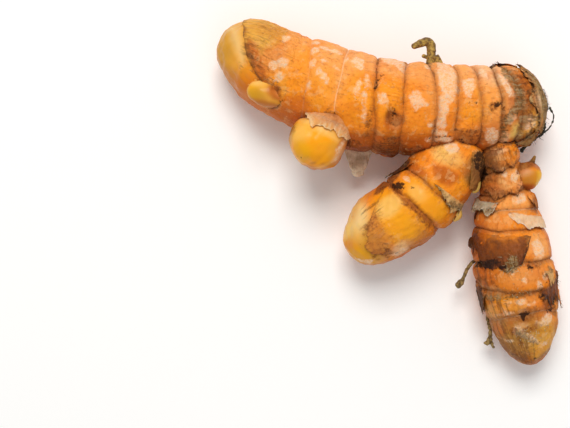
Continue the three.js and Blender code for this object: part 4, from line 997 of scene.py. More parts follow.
class Recipe:
    """A node material: `mm` is the place on the piece in millimetres, `height` the relief so far."""

    def __init__(self, name):
        self.material = bpy.data.materials.new(name)
        self.material.use_nodes = True
        self.nodes = self.material.node_tree.nodes
        self.shader = self.nodes["Principled BSDF"]
        self.height = 0.0
        place = self.add("TexCoord", output="Object")
        self.mm = self.add("VectorMath", place, named={"Scale": 1 / MM}, operation="SCALE")

    def add(self, kind, *inputs, output=0, named=None, **settings):
        """Adds one node and returns one of its outputs. Inputs come in order or by name, and each is a
        value or another node's output."""
        node = self.nodes.new("ShaderNode" + kind)
        for key, value in settings.items():
            setattr(node, key, value)
        for key, value in [*enumerate(inputs), *(named or {}).items()]:
            if isinstance(value, bpy.types.NodeSocket):
                self.material.node_tree.links.new(value, node.inputs[key])
            else:
                node.inputs[key].default_value = value
        return node.outputs[output]

    def ragged(self, field, breakup, amount, low, high):
        """Smooth step, from low to high, of field + amount x (breakup - 0.5)."""
        shift = self.add("Math", breakup, amount, -0.5 * amount, operation="MULTIPLY_ADD")
        moved = self.add("Math", field, shift, operation="ADD")
        return self.add("MapRange", moved, low, high, interpolation_type="SMOOTHSTEP")

    def both(self, *masks):
        """The product of some masks."""
        product = masks[0]
        for mask in masks[1:]:
            product = self.add("Math", product, mask, operation="MULTIPLY")
        return product

    def emboss(self, mask, relief):
        """Raises the surface by mask x relief, in millimetres."""
        self.height = self.add("Math", mask, relief, self.height, operation="MULTIPLY_ADD")

    def coat(self, colour, mask, pigment, strength=1.0, relief=0.0):
        """Mixes a pigment over a colour by mask x strength, and raises the skin by mask x relief."""
        amount = self.add("Math", mask, strength, operation="MULTIPLY")
        if relief:
            self.emboss(mask, relief)
        pigment = linear(pigment) if isinstance(pigment, str) else pigment
        return self.add("Mix", amount, named={COLOUR_A: colour, COLOUR_B: pigment}, output=COLOUR_OUT,
                        data_type="RGBA")

    def finish(self, colour, roughness, specular=0.3, subsurface=0.0):
        """Links colour, roughness and bump, with heights in millimetres, and lets light bleed through."""
        bump = self.add("Bump", named={"Strength": 1.0, "Distance": MM, "Height": self.height})
        for name, value in {"Base Color": colour, "Roughness": roughness, "Normal": bump}.items():
            if isinstance(value, bpy.types.NodeSocket):
                self.material.node_tree.links.new(value, self.shader.inputs[name])
            else:
                self.shader.inputs[name].default_value = value
        self.shader.inputs["Specular IOR Level"].default_value = specular
        self.shader.inputs["Subsurface Weight"].default_value = subsurface
        self.shader.inputs["Subsurface Radius"].default_value = RED_GOES_DEEPEST
        self.shader.inputs["Subsurface Scale"].default_value = LIGHT_SPREAD * MM
        return self.material


print("recipes are in millimetres")

# %% [markdown]
# ## Fresh turmeric skin
#
# The skin is a film of cork a tenth of a millimetre thick over wet orange flesh. Seen close it has
# slow clouds of deeper orange, pale islands where the film lifts, fine speckle and brown threads in
# the rings, and painted shade darkens the forks. It is a little translucent and moist enough to
# shine softly, and young skin is smooth and waxy. The dry scale leaves are painted by the same recipe
# first, because they are films of the same skin and their bases run into it without a seam; their
# own finish is laid over it.

# %% Patterns of the skin
FELT_RELIEF = 0.4       # mm
DOT_SPACING = 2.6       # mm between the sparse brown dots


class SkinRecipe(Recipe):
    """The coats that skin and scales share, on one set of noises. `age` is 0 on young waxy skin and 1 on
    old skin; `dry` gathers what is too dry to shine."""

    def __init__(self, name):
        super().__init__(name)
        grain = self.add("Attribute", output="Vector", attribute_name="grain")
        stretched = self.add("VectorMath", grain, (1.0, 1.0, 0.1), operation="MULTIPLY")
        noises = {      # place, size in mm, detail, roughness, distortion
            "clouds": (self.mm, 7.0, 3, 0.55, 0.2), "patches": (self.mm, 2.4, 5, 0.62, 0.4),
            "fine": (self.mm, 0.9, 4, 0.65, 0.2), "crumbs": (self.mm, 0.38, 3, 0.7, 0.0),
            "fibres": (stretched, 0.5, 3, 0.6, 0.0), "threads": (stretched, 0.9, 4, 0.7, 0.3),
        }
        for noise, (place, size, detail, roughness, distortion) in noises.items():
            settings = {"Vector": place, "Scale": 1 / size, "Detail": detail, "Roughness": roughness,
                        "Distortion": distortion}
            setattr(self, noise, self.add("TexNoise", named=settings))
        for field in (*MARKS, "ring_gap", "ring_stain", "ring_bleach", "ring_felt", "fork"):
            setattr(self, field, self.add("Attribute", output="Fac", attribute_name=field))
        self.age = self.ragged(self.waxy, self.patches, 2.0, 2.0, -1.5)

    def fresh_skin(self):
        """The washes, then clouds, lifting film, dark and pale speckle and fibres, which waxy skin lacks,
        then sparse brown dots."""
        colour = self.add("Attribute", output="Vector", attribute_name="wash")
        coats = [       # field, breakup, the numbers of `ragged`, pigment, strength, relief in mm
            (self.clouds, self.fine, 0.1, 0.46, 0.66, "#DE6F1B", 0.4, 0),
            (self.patches, self.fine, 0.2, 0.54, 0.6, "#FCC07C", 0.32, 0.025),
            (self.fine, self.crumbs, 0.3, 0.52, 0.7, "#B9561A", 0.32, 0.03),
            (self.fine, self.crumbs, 0.3, 0.42, 0.26, "#FFC984", 0.26, 0),
            (self.fibres, self.fine, 0.3, 0.56, 0.7, "#B86024", 0.26, 0.05),
        ]
        for field, breakup, amount, low, high, pigment, strength, relief in coats:
            mask = self.both(self.ragged(field, breakup, amount, low, high), self.age)
            colour = self.coat(colour, mask, pigment, strength, relief)
        spots = self.add("TexVoronoi", named={"Vector": self.mm, "Scale": 1 / DOT_SPACING}, output="Distance")
        dots = self.ragged(spots, self.crumbs, 0.12, 0.045, 0.015)
        return self.coat(colour, dots, "#6E3112", 0.75)

    def worn_film(self, colour):
        """Film worn off to pale flesh, with one painted highlight among those patches, brown film left on,
        and threads of old veins.
        """
        rubbed = self.ragged(self.rubbed, self.patches, 3.0, -0.35, 0.4)
        rubbed = self.both(rubbed, self.ragged(self.fine, self.crumbs, 0.8, 0.2, 0.56))
        colour = self.coat(colour, rubbed, "#FACCA0", 0.72, -0.04)
        grains = self.both(rubbed, self.ragged(self.fine, self.crumbs, 0.4, 0.46, 0.66))
        colour = self.coat(colour, grains, "#FFE9D0", 0.35, 0.02)
        brown = self.ragged(self.browned, self.patches, 2.8, -0.5, 0.5)
        mottled = self.both(brown, self.ragged(self.patches, self.fine, 0.6, 0.25, 0.55))
        colour = self.coat(colour, mottled, "#96501C", 0.68, 0.06)
        flecks = self.both(brown, self.ragged(self.fine, self.crumbs, 0.6, 0.5, 0.64))
        colour = self.coat(colour, flecks, "#5A2A10", 0.65)
        streaks = self.both(self.ragged(self.streaked, self.patches, 3.0, -1.0, 1.0),
                            self.ragged(self.threads, self.fine, 0.25, 0.5, 0.62))
        self.dry = mottled
        return self.coat(colour, streaks, "#6A4420", 0.6, 0.05)

    def felt(self, colour, mask, strength):
        """Grey-brown felt of dead fibres: pale fibres and dark crumbs over brown, never quite closed."""
        pale_fibres = self.ragged(self.threads, self.crumbs, 0.5, 0.45, 0.6)
        dark_crumbs = self.ragged(self.fine, self.crumbs, 0.7, 0.56, 0.66)
        brown = self.coat(linear("#9A6C38"), pale_fibres, "#CFB588", 0.6)
        brown = self.coat(brown, dark_crumbs, "#3A2412", 0.65)
        closed = self.both(mask, self.ragged(self.threads, self.fine, 0.8, 0.25, 0.52))
        self.dry = self.add("Math", self.dry, closed, operation="MAXIMUM")
        self.emboss(self.both(closed, self.crumbs), FELT_RELIEF)
        return self.coat(colour, closed, brown, strength)

    def leaf_scars(self, colour):
        """Rings: a soft brown band crossed by fibres, a thread in the groove that comes and goes, a pale
        seam on young rings and felt beside old ones."""
        band = self.ragged(self.ring_gap, self.fibres, 2.8, 1.4, 0.0)
        colour = self.coat(colour, self.both(band, self.ring_stain), "#B0602A", 0.62)
        beside = self.ragged(self.ring_gap, self.fine, 2.0, 1.5, 0.2)
        colour = self.felt(colour, self.both(beside, self.ring_felt), 0.7)
        width = self.add("Math", self.patches, 1.3, -0.5, operation="MULTIPLY_ADD")
        inside = self.add("Math", width, self.ring_gap, operation="SUBTRACT")
        thread = self.both(self.ragged(inside, self.crumbs, 0.5, -0.14, 0.1), self.ring_stain)
        colour = self.coat(colour, thread, "#8A4A1C", 0.6, -0.08)
        black = self.both(thread, self.ragged(self.clouds, self.fine, 0.3, 0.52, 0.66))
        colour = self.coat(colour, black, "#3C1C0C", 0.6)
        seam = self.both(self.ragged(self.ring_gap, self.patches, 0.5, 0.3, 0.0), self.ring_bleach)
        return self.coat(colour, seam, "#FCDDB6", 0.75)

    def fork_shade_and_soil(self, colour):
        """Painted shade in the forks, dark brown where another limb's skin is near; and in its own spots
        black soil with brown crumbs, which in the crevice between the fingers is painted shade.
        """
        # Painted shade: dark brown where another limb's skin is near, fading on young skin.
        fork_shade = self.both(self.ragged(self.fork, self.fine, 1.6, 0.9, -0.2), self.age)
        colour = self.coat(colour, fork_shade, "#5E280C", 0.78)
        # Soil in its own spots; in the crevice between the fingers these spots are painted shade.
        soiled = self.ragged(self.soiled, self.fine, 1.9, -0.1, 0.2)
        soiled = self.both(soiled, self.ragged(self.patches, self.crumbs, 0.5, 0.3, 0.44))
        self.dry = self.add("Math", self.dry, soiled, operation="MAXIMUM")
        colour = self.coat(colour, soiled, "#241006", 0.9, 0.05)
        crumbs = self.both(soiled, self.ragged(self.fine, self.crumbs, 0.6, 0.5, 0.7))
        return self.coat(colour, crumbs, "#57301A", 0.55)

    def clean_skin(self):
        """All coats but dirt and felt, and the relief that every part of the skin has."""
        colour = self.leaf_scars(self.worn_film(self.fresh_skin()))
        for noise, relief in ((self.patches, 0.16), (self.fine, 0.16), (self.crumbs, 0.08)):
            self.emboss(self.both(noise, self.age), relief)
        return colour

    def felt_soil_and_shade(self, colour):
        """What lies over skin and scales alike: felt, then painted shade in the forks, and soil."""
        felted = self.ragged(self.felted, self.fine, 2.8, -0.3, 0.5)
        return self.fork_shade_and_soil(self.felt(colour, felted, 0.8))


# %% Skin material
YOUNG_ROUGHNESS, OLD_ROUGHNESS, DRY_ROUGHNESS = 0.3, 0.48, 0.8


def skin_material():
    """Turmeric skin: moist, so smoother than its scales, and waxy where it is young."""
    recipe = SkinRecipe("turmeric_skin_moist_cork")
    colour = recipe.felt_soil_and_shade(recipe.clean_skin())
    moist = recipe.add("MapRange", recipe.age, 0.0, 1.0, YOUNG_ROUGHNESS, OLD_ROUGHNESS)
    roughness = recipe.add("Mix", recipe.dry, named={NUMBER_A: moist, NUMBER_B: DRY_ROUGHNESS})
    return recipe.finish(colour, roughness, specular=0.16, subsurface=0.1)


flesh.data.materials.clear()
flesh.data.materials.append(skin_material())
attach(flesh, "root")
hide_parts("rhizome")
print("skin:", len(flesh.data.materials[0].node_tree.nodes), "nodes")

# %% [markdown]
# ## Dry scale leaves
#
# Each ring once carried a leaf that sheathed the stem beyond it. What is left is a papery scale,
# brown or grey, with fine parallel veins, attached along the ring and torn at its free edge. It is
# made as a patch of the skin's own surface: one parameter runs from the ring to the free edge, the
# other across, and the patch is lifted more towards its edge and closed as a thin slab.

# %% Scale leaves as closed slabs
LEAF_KEYS = ("limb", "base", "lean", "turn", "half", "reach", "blunt", "peak", "lift", "frill", "tear",
             "finish")      # mm, but turn and half width in degrees, blunt and peak plain numbers
LEAVES = {
    "tip_scale": ("mother", 72, 3, 37, 73, 16.3, 3.4, 0.0, 0.2, 0.1, 0.12, "young"),
    "crown_scale": ("mother", 1.9, 0.5, 18, 84, 6.6, 5, 0.0, 0.3, 0.4, 0.5, "fibrous"),
    "olive_scale": ("finger_1", 3.4, 0, -62, 36, 8.6, 1.7, -0.1, 0.3, 0.2, 0.3, "olive"),
    "finger_1_collar": ("finger_1", 15.2, 0, -52, 52, 2.6, 3, -0.5, 0.2, 0.2, 0.5, "buff"),
    "finger_1_tip_scale": ("finger_1", 24.2, 0.6, -15, 72, 15.8, 1.5, 0.03, 0.15, 0.2, 0.35, "tan"),
    "finger_1_back_scale": ("finger_1", 13.8, 0.6, 84, 34, 10, 2, -0.2, 0.2, 0.15, 0.5, "dark"),
    "neck_scale_1": ("finger_2", 3.6, 0, 8, 56, 5.2, 3, 0.1, 0.3, 0.4, 0.4, "bark"),
    "neck_scale_2": ("finger_2", 9.8, -0.6, 16, 62, 5.2, 3, 0.1, 0.2, 0.35, 0.4, "thin"),
    "torn_scale": ("finger_2", 15.9, -0.3, 64, 40, 3.2, 4, 0.0, 0.8, 0.5, 0.5, "ashen"),
    "pale_scale": ("finger_2", 20.9, -1.9, -42, 46, 3.9, 6, -0.2, 0.1, 0.2, 0.3, "pale"),
    "brown_scale": ("finger_2", 25.0, -1.3, 30, 53, 10.2, 2.5, -0.05, 0.2, 0.25, 0.5, "brown"),
    "edge_scale": ("finger_2", 38.6, -1.0, 94, 32, 7.4, 1.7, -0.2, 0.5, 0.2, 0.6, "dark"),
    "side_scale": ("finger_2", 40.0, 2.6, -50, 30, 6.8, 1.8, 0.2, 0.2, 0.3, 1.2, "brown"),
}
FLAKES = {      # small torn films that no solid stands for
    "crown_lobe_high": ("mother", 3.4, 0, 40, 20, 5.4, 3, 0.1, 0.3, 0.2, 0.4, "beige"),
    "crown_lobe_mid": ("mother", 4.2, 0, 6, 20, 5.2, 2.4, -0.1, 0.3, 0.2, 0.4, "beige"),
    "crown_lobe_low": ("mother", 4.4, 0, -28, 18, 5.4, 2.4, 0.1, 0.3, 0.2, 0.4, "beige"),
    "crown_top_flake": ("mother", 8.0, 0, 88, 15, 6.0, 2.4, 0.2, 0.3, 0.2, 0.4, "olive"),
    "crown_under_flake": ("mother", 6.5, 0, -58, 18, 6.0, 2, 0.3, 0.4, 0.3, 1.0, "fibrous"),
    "knob_lip": ("knob", 5.6, 2.6, -14, 78, 4.4, 3, -0.3, 0.15, 0.3, 0.35, "skin"),
    "knob_side_lip": ("knob", 6.2, 0, -78, 22, 3.6, 2, 0.1, 0.4, 0.3, 0.5, "thin"),
    "side_flake_high": ("finger_2", 36.8, 0, -44, 14, 4.8, 2, 0.1, 0.3, 0.2, 1.0, "beige"),
    "side_flake_low": ("finger_2", 44.0, 0, -70, 14, 5.0, 2, 0.1, 0.3, 0.2, 1.2, "thin"),
    "shoulder_flake": ("finger_2", 15.4, 0, -60, 16, 4.6, 2, 0.2, 0.4, 0.2, 0.6, "thin"),
}
LEAF_THICKNESS = 0.14       # mm
LEAF_ROWS = 40
LEAF_SPACING = 0.3          # mm between columns
LEAF_COLUMNS = (24, 100)    # least and most
LEAF_VEINS = {"young": (1.15, 0.07), "fibrous": (0.5, 0.06)}        # spacing and height in mm
FAINT_VEINS = (0.7, 0.02)                                           # of every other finish
LEAF_STAND = 0.1            # mm of air under a leaf
BASE_TUCK, SIDE_TUCK = 0.45, 0.3        # mm by which its base and its sides dip into the skin
TUCK_REACH = 0.07           # share of a leaf over which its base dips
LEAF_TAPER = 0.4            # share of its thickness that a leaf loses by its free edge
CRUMPLE = 0.06              # mm
TABLE_GAP = 0.05            # mm kept between the table and anything thin
SIDE_REACH = 0.12           # share of a leaf's reach that is left at its sides
LEAST_REACH = 0.1           # share below which no tear cuts it
TEAR_WAVES, TEAR_HEIGHT = 14, 0.16
SPLITS, SPLIT_WIDTH = 3, 0.35           # narrow cuts, mm


def slab_faces(rows, columns):
    """Faces of a closed slab from two grids of rows x columns points, the upper one first."""
    grid = np.arange(rows * columns).reshape(rows, columns)
    shift = rows * columns
    upper = np.stack([grid[:-1, :-1], grid[:-1, 1:], grid[1:, 1:], grid[1:, :-1]], -1).reshape(-1, 4)
    loop = np.concatenate([grid[0, :-1], grid[:-1, -1], grid[-1, :0:-1], grid[:0:-1, 0]])
    after = np.roll(loop, -1)
    rim = np.stack([loop, loop + shift, after + shift, after], -1)
    return np.vstack([upper, upper[:, ::-1] + shift, rim]).tolist()


def leaf_edge(leaf, b, draw):
    """How far the free edge reaches at each b, from -1 to 1 across: reach x (side + (1 - side) (1 - |b from
    the peak|^blunt)) plus two slow waves and random sines of height 0.16 x tear x wavelength^0.7, less
    some narrow splits."""
    peak = leaf["peak"]
    from_peak = np.where(b < peak, (peak - b) / (1 + peak), (b - peak) / (1 - peak))
    edge = leaf["reach"] * (SIDE_REACH + (1 - SIDE_REACH) * (1 - from_peak ** leaf["blunt"]))
    edge += leaf["frill"] * (np.sin(9 * b + 2 * leaf["base"]) + 0.6 * np.sin(17 * b + leaf["base"]))
    width = leaf["size"] * math.radians(leaf["half"])
    wavelengths = np.geomspace(0.5, 8.0, TEAR_WAVES) * draw.uniform(0.8, 1.25, TEAR_WAVES)
    for wavelength, phase in zip(wavelengths, draw.uniform(0, 6.28, TEAR_WAVES)):
        height = TEAR_HEIGHT * leaf["tear"] * wavelength ** 0.7
        edge += height * np.sin(2 * np.pi * b * width / wavelength + phase)
    for at, depth in zip(draw.uniform(-0.9, 0.9, SPLITS), draw.uniform(0.2, 1.4, SPLITS)):
        edge -= leaf["tear"] * depth * np.exp(-np.abs(b - at) * width / SPLIT_WIDTH)
    return np.maximum(edge, LEAST_REACH * leaf["reach"])


def leaf_piece(name, leaf, seed):
    """A scale leaf: skin + outward x stand, with stand = air + lift a^2 + veins - tucks at the base and
    sides, and the same again a thickness higher. Here a runs from 0 at the ring to 1 at the free edge
    and b from -1 to 1 across. Returns the piece, and for its free edge the points, the ways on and the
    outward directions."""
    leaf = dict(zip(LEAF_KEYS, leaf))
    limb = LIMBS[leaf["limb"]]
    leaf["size"] = float(limb.at(leaf["base"], limb.radii))
    draw = np.random.default_rng(seed)
    width = leaf["size"] * math.radians(leaf["half"])
    columns = int(np.clip(2 * width / LEAF_SPACING, *LEAF_COLUMNS))
    a, b = np.meshgrid(np.linspace(0, 1, LEAF_ROWS), np.linspace(-1, 1, columns), indexing="ij")
    reach = leaf_edge(leaf, b, draw)
    distance = leaf["base"] + leaf["lean"] * b + a * reach
    ragged_side = 1 + 0.05 * np.sin(7 * a + seed) + 0.03 * np.sin(23 * a + 2 * seed)
    turn_at = math.radians(leaf["turn"]) + math.radians(leaf["half"]) * b * ragged_side
    spacing, vein_height = LEAF_VEINS.get(leaf["finish"], FAINT_VEINS)
    veins = vein_height * np.sin(2 * np.pi * b * width / spacing + 0.8 * np.sin(4 * a + 3 * b)) * (1 - a ** 6)
    tuck = BASE_TUCK * np.exp(-(a / TUCK_REACH) ** 2) + SIDE_TUCK * np.abs(b) ** 16
    curl = leaf["lift"] * a ** 2 + 0.3 * leaf["frill"] * a ** 2 * (1 + np.sin(11 * b + seed))
    stand = LEAF_STAND + curl + veins - tuck
    base_skin = skin(limb, distance, turn_at, bridged=True)
    out = outward(limb, distance, turn_at)
    crumple = CRUMPLE * waves(base_skin.reshape(-1, 3), 1.2, 5.0, 20, seed).reshape(a.shape)
    thickness = LEAF_THICKNESS * (1 - LEAF_TAPER * a)
    upper = base_skin + out * (stand + crumple + thickness)[..., None]
    under = base_skin + out * (stand + crumple)[..., None]
    leaf_points = np.vstack([upper.reshape(-1, 3), under.reshape(-1, 3)])
    leaf_points[:, 2] = np.maximum(leaf_points[:, 2], TABLE_GAP)
    piece = mesh_piece(name, leaf_points, slab_faces(LEAF_ROWS, columns))
    fields = {"leaf_a": a, "leaf_b": b * width, "leaf_side": (1 - np.abs(b)) * width,
              "leaf_edge": (1 - a) * reach}
    for field, values in fields.items():
        set_attribute(piece, field, np.tile(values.ravel(), 2))
    paint(piece, Place(leaf_points, leaf["limb"]))
    return piece, upper[-1], unit(upper[-1] - upper[-4]), out[-1]


# %% Scale leaf finishes
VEIN_STRETCH = 1.2      # mm of pattern along a whole leaf, so that it draws out into veins
FINISHES = {    # film, mottle, edge, cover, edge width and vein spacing in mm, fade, roughness, slot
    "young": ("#E8A848", "#CC8630", "#7A4210", 0.5, 1.1, 1.0, 0.3, 0.45, "young_scale"),
    "tan": ("#D2803A", "#B4622A", "#8A4418", 0.6, 0.2, 0.6, 0.4, 0.35, "young_scale"),
    "skin": ("#DE9860", "#B0642C", "#F6D2A0", 0.7, 0.5, 0.6, 0.3, 0.45, "young_scale"),
    "pale": ("#F6D6B0", "#E2B48A", "#F6E2C8", 0.75, 0.3, 0.5, 0.2, 0.6, "young_scale"),
    "beige": ("#DCB67C", "#B48852", "#6E4C28", 0.75, 0.2, 0.5, 0.3, 0.7, "fibrous_scale"),
    "buff": ("#DCB67C", "#B48852", "#6E4C28", 0.75, 0.2, 0.5, 0.3, 0.7, "grey_scale"),
    "thin": ("#BC7030", "#8C5024", "#4A2410", 0.7, 0.3, 0.5, 0.3, 0.55, "brown_scale"),
    "brown": ("#8A4618", "#64300F", "#32150A", 0.94, 2.4, 0.45, 0.35, 0.4, "brown_scale"),
    "dark": ("#55301A", "#2A160C", "#170C07", 0.95, 0.6, 0.45, 0.2, 0.6, "brown_scale"),
    "bark": ("#8C5226", "#663A1C", "#4A2410", 0.85, 0.3, 0.5, 0.1, 0.6, "brown_scale"),
    # The grey finish, for the hanging scale, is paler than the ashen film of the same slot: painted light on
    # a scale that lies in the mother's shadow.
    "grey": ("#EED8BC", "#BCA080", "#F0E0C8", 0.92, 0.3, 0.45, 0.2, 0.8, "grey_scale"),
    "ashen": ("#CCBCA0", "#9A8466", "#DCD0B8", 0.88, 0.3, 0.45, 0.2, 0.8, "grey_scale"),
    "olive": ("#A66C36", "#7A4C26", "#A87838", 0.88, 0.3, 0.6, 0.2, 0.6, "fibrous_scale"),
    "fibrous": ("#B8935E", "#86622F", "#4A331E", 0.75, 0.2, 0.45, 0.2, 0.85, "fibrous_scale"),
}


def scale_material(finish):
    """A papery scale over the skin's own colours: mottled film that grows stronger from the base and the
    sides, veins towards a free edge that is darker or paler in places, then soil."""
    film, mottle, edge, cover, edge_width, spacing, fade, roughness, _ = FINISHES[finish]
    recipe = SkinRecipe("dry_scale_leaf_" + finish)
    leaf_a, leaf_b, leaf_side, leaf_edge = (recipe.add("Attribute", output="Fac", attribute_name=name)
                                            for name in ("leaf_a", "leaf_b", "leaf_side", "leaf_edge"))
    along = recipe.add("Math", leaf_a, VEIN_STRETCH, operation="MULTIPLY")
    across = recipe.add("CombineXYZ", leaf_b, along)
    veins = recipe.add("TexNoise", named={"Vector": across, "Scale": 1 / spacing, "Detail": 3,
                                          "Distortion": 0.3})
    colour = recipe.clean_skin()
    clouds = recipe.ragged(recipe.clouds, recipe.patches, 0.6, 0.4, 0.62)
    film_colour = recipe.coat(linear(film), clouds, mottle, 0.8)
    ribs = recipe.ragged(veins, recipe.fine, 0.4, 0.5, 0.7)
    film_colour = recipe.coat(film_colour, ribs, mottle, 0.4, 0.06)
    specks = recipe.ragged(recipe.fine, recipe.crumbs, 0.4, 0.6, 0.75)
    film_colour = recipe.coat(film_colour, specks, edge, 0.35)
    strength = recipe.both(recipe.ragged(leaf_a, recipe.patches, 0.7, -0.25, fade),
                           recipe.ragged(leaf_side, recipe.patches, 2.0, 0.0, 1.6),
                           recipe.ragged(recipe.bared, recipe.patches, 3.0, 1.2, -0.8))
    colour = recipe.coat(colour, strength, film_colour, cover)
    outer = recipe.ragged(leaf_edge, recipe.patches, 3.0, 1.2 + 1.6 * edge_width, 0.0)
    striae = recipe.both(outer, recipe.ragged(veins, recipe.fine, 0.3, 0.42, 0.62))
    colour = recipe.coat(colour, striae, edge, 0.6)
    rim = recipe.ragged(leaf_edge, recipe.fine, 1.4 * edge_width, edge_width, 0.0)
    rim = recipe.both(rim, recipe.ragged(recipe.patches, recipe.clouds, 0.5, 0.34, 0.56))
    colour = recipe.felt_soil_and_shade(recipe.coat(colour, rim, edge, 0.75))
    return recipe.finish(colour, roughness, specular=0.17, subsurface=0.08)


SCALE_MATERIALS = {finish: scale_material(finish) for finish in FINISHES}
FIRST_SEED = 100
free_edges = {}
for seed, (leaf_name, leaf) in enumerate({**LEAVES, **FLAKES}.items(), FIRST_SEED):
    piece, *free_edges[leaf_name] = leaf_piece("dry_" + leaf_name, leaf, seed)
    piece.data.materials.append(SCALE_MATERIALS[leaf[-1]])
    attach(piece, "root")
    if leaf_name in LEAVES:
        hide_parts(leaf_name)
print(len(LEAVES), "scale leaves and", len(FLAKES), "flakes")

# %% [markdown]
# ## Free blades, the shoot and thin roots
#
# The hanging scale, the dead shoot and the thin roots stand free of the skin. They are limbs too:
# a blade is one with a fixed half thickness, and a root is one a millimetre thick with knots in it.

# %% Hanging scale
BLADE_TOP, BLADE_LENGTH = 14, 12        # mm, along y
OLDEST = 0.85                           # the blade's tip is painted as this far along a leaf
blade = Limb([(-7.6, 14.4, 8.8, 4.0), (-7.5, 11.0, 8.6, 3.8), (-7.6, 7.2, 8.3, 2.3), (-7.8, 4.0, 8.1, 1.2)],
             ends=(1.0, 1.0), half_thickness=0.3)
hanging = limb_mesh("dry_hanging_scale", blade, 0.2, 64)
blade_points = roughen(hanging, (0.12, 1.5, 5.0, 20, 9))
set_attribute(hanging, "leaf_a", np.clip((BLADE_TOP - blade_points[:, 1]) / BLADE_LENGTH, 0, OLDEST))
set_attribute(hanging, "leaf_b", blade_points[:, 0])
set_attribute(hanging, "wash", np.tile(np.array(linear("#D4C4A8")[:3]), (len(blade_points), 1)))
unmarked = {"leaf_side": 4.0, "leaf_edge": 4.0, "ring_gap": 9.0, "fork": 9.0, **dict.fromkeys(MARKS, FAR)}
for field, value in unmarked.items():
    set_attribute(hanging, field, np.full(len(blade_points), value))
# This pale grey finish holds painted light, since the scale lies in the mother's shadow.
hanging.data.materials.append(SCALE_MATERIALS["grey"])
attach(hanging, "root")
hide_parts("hanging_scale")

# %% Stem and root bark
BARK_SIZE, BARK_GRAIN = 0.9, 0.25       # mm


def bark_material(name, young, old, roughness):
    """Dead stem or root bark: two browns mixed by a noise a millimetre wide, with fine relief."""
    recipe = Recipe(name)
    bark = recipe.add("TexNoise", named={"Vector": recipe.mm, "Scale": 1 / BARK_SIZE, "Detail": 4,
                                         "Roughness": 0.65})
    fine = recipe.add("TexNoise", named={"Vector": recipe.mm, "Scale": 1 / BARK_GRAIN, "Detail": 3})
    colour = recipe.coat(linear(young), recipe.ragged(bark, fine, 0.4, 0.35, 0.65), old, 1.0, 0.1)
    return recipe.finish(colour, roughness)


SHOOT_BARK = bark_material("dead_shoot_bark", "#BC9848", "#64482A", 0.6)
ROOT_BARK = bark_material("thin_root_bark", "#A08450", "#574022", 0.8)
SOOTY_BARK = bark_material("sooty_root_bark", "#4A4A3C", "#15110C", 0.8)
PALE_FIBRE = bark_material("pale_root_fibre", "#E2D4AE", "#A8966C", 0.85)

# %% Shoot
SHOOT = {
    "stem": Limb([(11.3, 32.0, 15.0, 1.3), (11.6, 36.3, 15.2, 1.2), (11.6, 38.8, 15.3, 1.3),
                  (10.6, 40.0, 15.5, 1.25), (8.6, 39.6, 15.6, 1.05), (6.3, 38.6, 15.6, 0.7)]),
    "lobe": Limb([(11.4, 35.4, 15.1, 0.5), (10.2, 36.1, 15.1, 0.55), (9.2, 36.4, 15.1, 0.4)]),
    "flake": Limb([(13.1, 32.2, 14.8, 2.3), (13.4, 34.4, 14.9, 1.5), (13.5, 36.8, 15.0, 0.3)],
                  ends=(0.5, 0.4), half_thickness=0.3),
}
THIN_SPACING = 0.15     # mm between rows of points on the shoot and the roots
shoot_parts = [limb_mesh("shoot_" + part, limb, THIN_SPACING, 32) for part, limb in SHOOT.items()]
shoot = union(shoot_parts, "dead_shoot")
roughen(shoot, (0.05, 0.9, 3.0, 20, 8))
shoot.data.materials.clear()
shoot.data.materials.append(SHOOT_BARK)
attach(shoot, "root")
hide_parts("dried_shoot")

# %% Thin roots
ROOTS = {
    "club_root": [(26.5, -17.6, 9.4, 0.7), (23.7, -19.2, 9.0, 0.5), (22.4, -20.8, 8.6, 0.45),
                  (21.2, -23.8, 8.0, 0.5), (20.4, -25.0, 7.6, 0.95), (19.4, -26.1, 7.2, 0.8)],
    "forked_root": [(30.5, -31.4, 9.2, 0.8), (27.9, -33.4, 8.8, 0.55), (28.5, -37.8, 8.2, 0.45),
                    (28.5, -40.6, 7.6, 0.7), (27.2, -42.0, 7.2, 0.6)],
    "fork_tip": [(28.5, -40.0, 7.6, 0.45), (29.2, -41.8, 7.2, 0.45), (29.8, -43.0, 6.8, 0.4)],
    "crown_root": [(43.0, 18.6, 11.0, 0.35), (42.4, 16.0, 11.4, 0.3), (40.0, 14.0, 12.0, 0.33),
                   (37.6, 12.4, 12.8, 0.35), (35.9, 10.6, 13.3, 0.6)],
    "crown_wire": [(43.8, 22.6, 13.4, 0.25), (44.9, 20.4, 13.0, 0.2), (44.4, 18.0, 12.8, 0.2),
                   (43.0, 16.4, 12.8, 0.2), (41.2, 15.6, 12.8, 0.25)],
}
for root_name, path in ROOTS.items():
    root_piece = limb_mesh(root_name, Limb(path), THIN_SPACING, 20)
    roughen(root_piece, (0.08, 0.8, 3.0, 20, 7))
    root_piece.data.materials.append(SOOTY_BARK if "crown" in root_name else ROOT_BARK)
    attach(root_piece, "root")
print("blades, shoot and roots made")

# %% [markdown]
# ## Frayed fibres
#
# Torn scales and old root stumps end in hairs. A hair is a tapering tube of five sides along a
# parabola, and hundreds are made at once as one array, because one mesh is much quicker than
# hundreds of objects.

# %% Hairs as one mesh
HAIR_ROWS = 7
HAIR_SIDES = 5
HAIR_TAPER = 0.7        # share of its thickness that a hair loses by its tip
TUFT_THICKNESS, EDGE_THICKNESS = (0.05, 0.1), (0.04, 0.08)      # mm
TUFT_LENGTHS, EDGE_LENGTHS = (0.4, 1.2), (0.3, 1.2)             # shares of the row's length
TUFT_ROOT, EDGE_ROOT = 0.05, 0.15                               # mm that a hair starts inside


